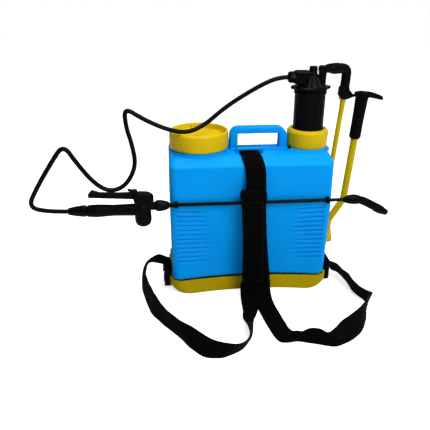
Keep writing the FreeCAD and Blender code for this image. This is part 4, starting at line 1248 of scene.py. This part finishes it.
def straps():
    """Both side straps, the top strap over its bridge and the bar that keeps it there."""
    webbing("left_strap", LEFT_OUTER, LEFT_INNER, ["left_strap_run", "left_strap_loop"])
    webbing("right_strap", RIGHT_OUTER, RIGHT_INNER, ["right_strap_run", "right_strap_loop"])
    over = [(-20, 338.5), (-34, 338.0), (-50, 337.2), (-66, 336.6), (-74, 335.4), (-84, 329.5),
            (-94, 322.5), (-99.5, 314), (-103, 296), (-108, 275), (-112, 258), (-114, 244)]
    shift = [0, 0, 0, 0.5, 1.5, 3, 4.5, 6, 7, 7, 6.5, 6]
    first = [(x - WEB / 2 - 2, y, z) for x, (y, z) in zip(shift, over)]
    second = [(x + WEB / 2 - 2, y, z) for x, (y, z) in zip(shift, over)]
    webbing("top_strap", first, second, ["top_webbing"], 2.6, None)
    bar = tube([(-27.5, -27, 344), (-9, -27, 344), (9, -27, 344), (27.5, -27, 344)], 2.6, 16)
    tab = bar_shell((-24, -28, 338.7), (22, -12, 341.5), 1)
    piece("keeper_bar", [bar, tab], ["strap_keeper"])
    hooks()


def hooks():
    """Two strap hooks, each a frame of bars beside the base."""
    for name in ("left", "right"):
        node = f"{name}_strap_hook"
        low, high = box(node)
        shells = []
        edges = [(low.y, low.z, high.y, low.z + 4), (low.y, 27, high.y, high.z - 19),
                 (low.y, high.z - 5, high.y, high.z),
                 (low.y, low.z, low.y + 7, 34), (high.y - 7, low.z, high.y, 34),
                 (low.y, 34, low.y + 3, high.z), (high.y - 3, 34, high.y, high.z)]
        for y0, z0, y1, z1 in edges:
            shells.append(bar_shell((low.x, y0, z0), (high.x, y1, z1), 1.6))
        piece(f"{name}_hook", shells, [node])


PAD_W = 56
SEAM_IN = 6.5


def pad_form(width, length, thick, crown):
    """A crowned pad in its own frame: x across, y out of its face, z up; sides pull in a little."""
    rings = []
    columns, rows = 18, 56
    for row in range(rows + 1):
        v = row / rows
        end = min(v, 1 - v) * length
        pull = 1.2 * math.sin(math.pi * v)
        half = width / 2 - pull - 3.5 * (1 - bump_step(end / 7)) ** 2
        full = math.sqrt(bump_step(min(1, (end + 1.2) / 9)))
        ring = []
        for side in (1, -1):
            for column in range(columns + 1):
                u = -1 + 2 * column / columns
                u = u if side > 0 else -u
                profile = (1 - abs(u) ** 5) ** 0.5
                ring.append(Vector((half * u, -side * (thick / 2 + crown * (1 - u * u)) * profile * full,
                                    v * length)))
        rings.append(ring)
    return skin(rings)


def swell(thing, cap):
    """Blows the pad up with a short cloth simulation, then limits how far any point has moved."""
    remesh = thing.modifiers.new("remesh", "REMESH")
    remesh.mode = "VOXEL"
    remesh.voxel_size = 0.0022
    graph = bpy.context.evaluated_depsgraph_get()
    even = bpy.data.meshes.new_from_object(thing.evaluated_get(graph))
    thing.modifiers.clear()
    material = thing.data.materials[0]
    thing.data = even
    thing.data.materials.clear()
    thing.data.materials.append(material)
    start = np.array([v.co for v in even.vertices], float)
    cloth = thing.modifiers.new("cloth", "CLOTH")
    cloth.settings.use_pressure = True
    cloth.settings.uniform_pressure_force = 4
    cloth.settings.effector_weights.gravity = 0
    cloth.settings.quality = 4
    scene = bpy.context.scene
    for number in range(1, 13):
        scene.frame_set(number)
    graph = bpy.context.evaluated_depsgraph_get()
    blown = bpy.data.meshes.new_from_object(thing.evaluated_get(graph))
    moved = np.array([v.co for v in blown.vertices], float) - start
    far = np.linalg.norm(moved, axis=1, keepdims=True)
    moved *= np.minimum(1, cap / np.maximum(far, 1e-9))
    thing.modifiers.clear()
    scene.frame_set(1)
    even.vertices.foreach_set("co", (start + moved).astype(np.float32).ravel())
    even.update()


def seam(thing, to_local, width, length, inset_by, depth):
    """Presses a sewn channel into both faces, a little inside the edge."""
    for vertex in thing.data.vertices:
        x, y, z = to_local(vertex.co)
        gap_x = width / 2 - inset_by - abs(x)
        gap_z = min(z, length - z) - inset_by
        gap = min(gap_x, gap_z)
        if gap < -3.2:
            continue
        press = depth * math.exp(-(gap / 0.0011) ** 2) if gap < 0.006 else 0.0
        pillow = 0.5 * depth * bump_step(gap / 0.012) if gap > 0 else 0.0
        vertex.co += to_local.out * (math.copysign(1, y) * (pillow - press))


class Local:
    """A pad's own frame. A call takes a model point in metres into it, and back() a pad point in
    millimetres out of it.
    """

    def __init__(self, top, slant, length):
        self.spin = Matrix.Rotation(math.radians(-slant), 3, "Y")
        self.origin = Vector(top) - self.spin @ Vector((0, 0, length))
        self.out = Vector((0, 1, 0))

    def __call__(self, point):
        return self.spin.transposed() @ (point / MM - self.origin) * MM

    def back(self, point):
        return self.spin @ Vector(point) + self.origin


def stitches(name, local, width, length, inset_by, face_y):
    """A row of short thread stitches round the pad's face."""
    corners = [(-width / 2 + inset_by, inset_by), (width / 2 - inset_by, inset_by),
               (width / 2 - inset_by, length - inset_by), (-width / 2 + inset_by, length - inset_by)]
    shells = []
    for start, end in zip(corners, corners[1:] + corners[:1]):
        run = Vector((end[0] - start[0], 0, end[1] - start[1]))
        count = int(run.length / 4.2)
        for index in range(count):
            a = Vector((start[0], face_y, start[1])) + run * ((index + 0.18) / count)
            b = Vector((start[0], face_y, start[1])) + run * ((index + 0.82) / count)
            sunk = Vector((0, 0.7, 0))
            path = [a + sunk, a.lerp(b, 0.25), a.lerp(b, 0.75), b + sunk]
            shells.append(tube([local.back(p) for p in path], 0.42, 6))
    piece(name, shells, slot="pad_fabric", look="stitching")


def smooth_out(thing):
    """One level of subdivision."""
    subdivide = thing.modifiers.new("smooth", "SUBSURF")
    subdivide.levels = subdivide.render_levels = 1


def pad(name, node, top, slant, width, length, thick):
    """A sewn, stuffed pad that hangs from its top, slanted in degrees. Returns its own frame."""
    local = Local(top, slant, length)
    vertices, faces = pad_form(width, length, thick, 0.8)
    vertices = [tuple(local.back(v)) for v in vertices]
    made = piece(name, [(vertices, faces)], [node], slot="pad_fabric", sharp=60)
    swell(made, 0.0016)
    seam(made, local, width * MM, length * MM, SEAM_IN * MM, 1.1 * MM)
    smooth_out(made)
    made.data.shade_smooth()
    return local


def pads():
    """Both shoulder pads, the stitches of the one on top and the sleeve over their upper ends."""
    front = pad("left_pad", "left_shoulder_pad", (-2.5, -120.2, 253), 1.6, PAD_W, 214, 7.6)
    pad("right_pad", "right_shoulder_pad", (1.0, -110.6, 251.5), 5.0, PAD_W, 213, 6.4)
    stitches("left_pad_stitches", front, PAD_W, 214, SEAM_IN, -4.6)
    sleeve = outline_of([(-29.5, -4.6), (29.5, -4.6), (29.5, 4.6), (-29.5, 4.6)], 2.2, 4)
    wide = [(250.0, 0.975), (252, 1.0), (259, 1.01), (265, 0.985), (270.5, 0.96), (272.5, 0.93)]
    rings = []
    for z, share in wide:
        depth = 0.9 + 0.15 * (277.5 - z) / 28
        y = (z - 250) * 0.12 - 117.5
        rings.append([Vector((p.x * share - 1.2, p.y * depth + y, z - 0.05 * p.x)) for p in sleeve])
    shells = [skin(rings)]
    made = piece("pad_sleeve", shells, slot="pad_fabric", sharp=50)
    smooth_out(made)


# --- Everything ---

make_camera()
make_stage()
hose()
dress_nodes()
for build in (tank, base, lid, collar, chamber, pump_head, outlet, drive_arm, link, lever, lever_foot,
              bracket, trigger_valve, trigger, spring, glands, lance, clips, straps, pads):
    build()
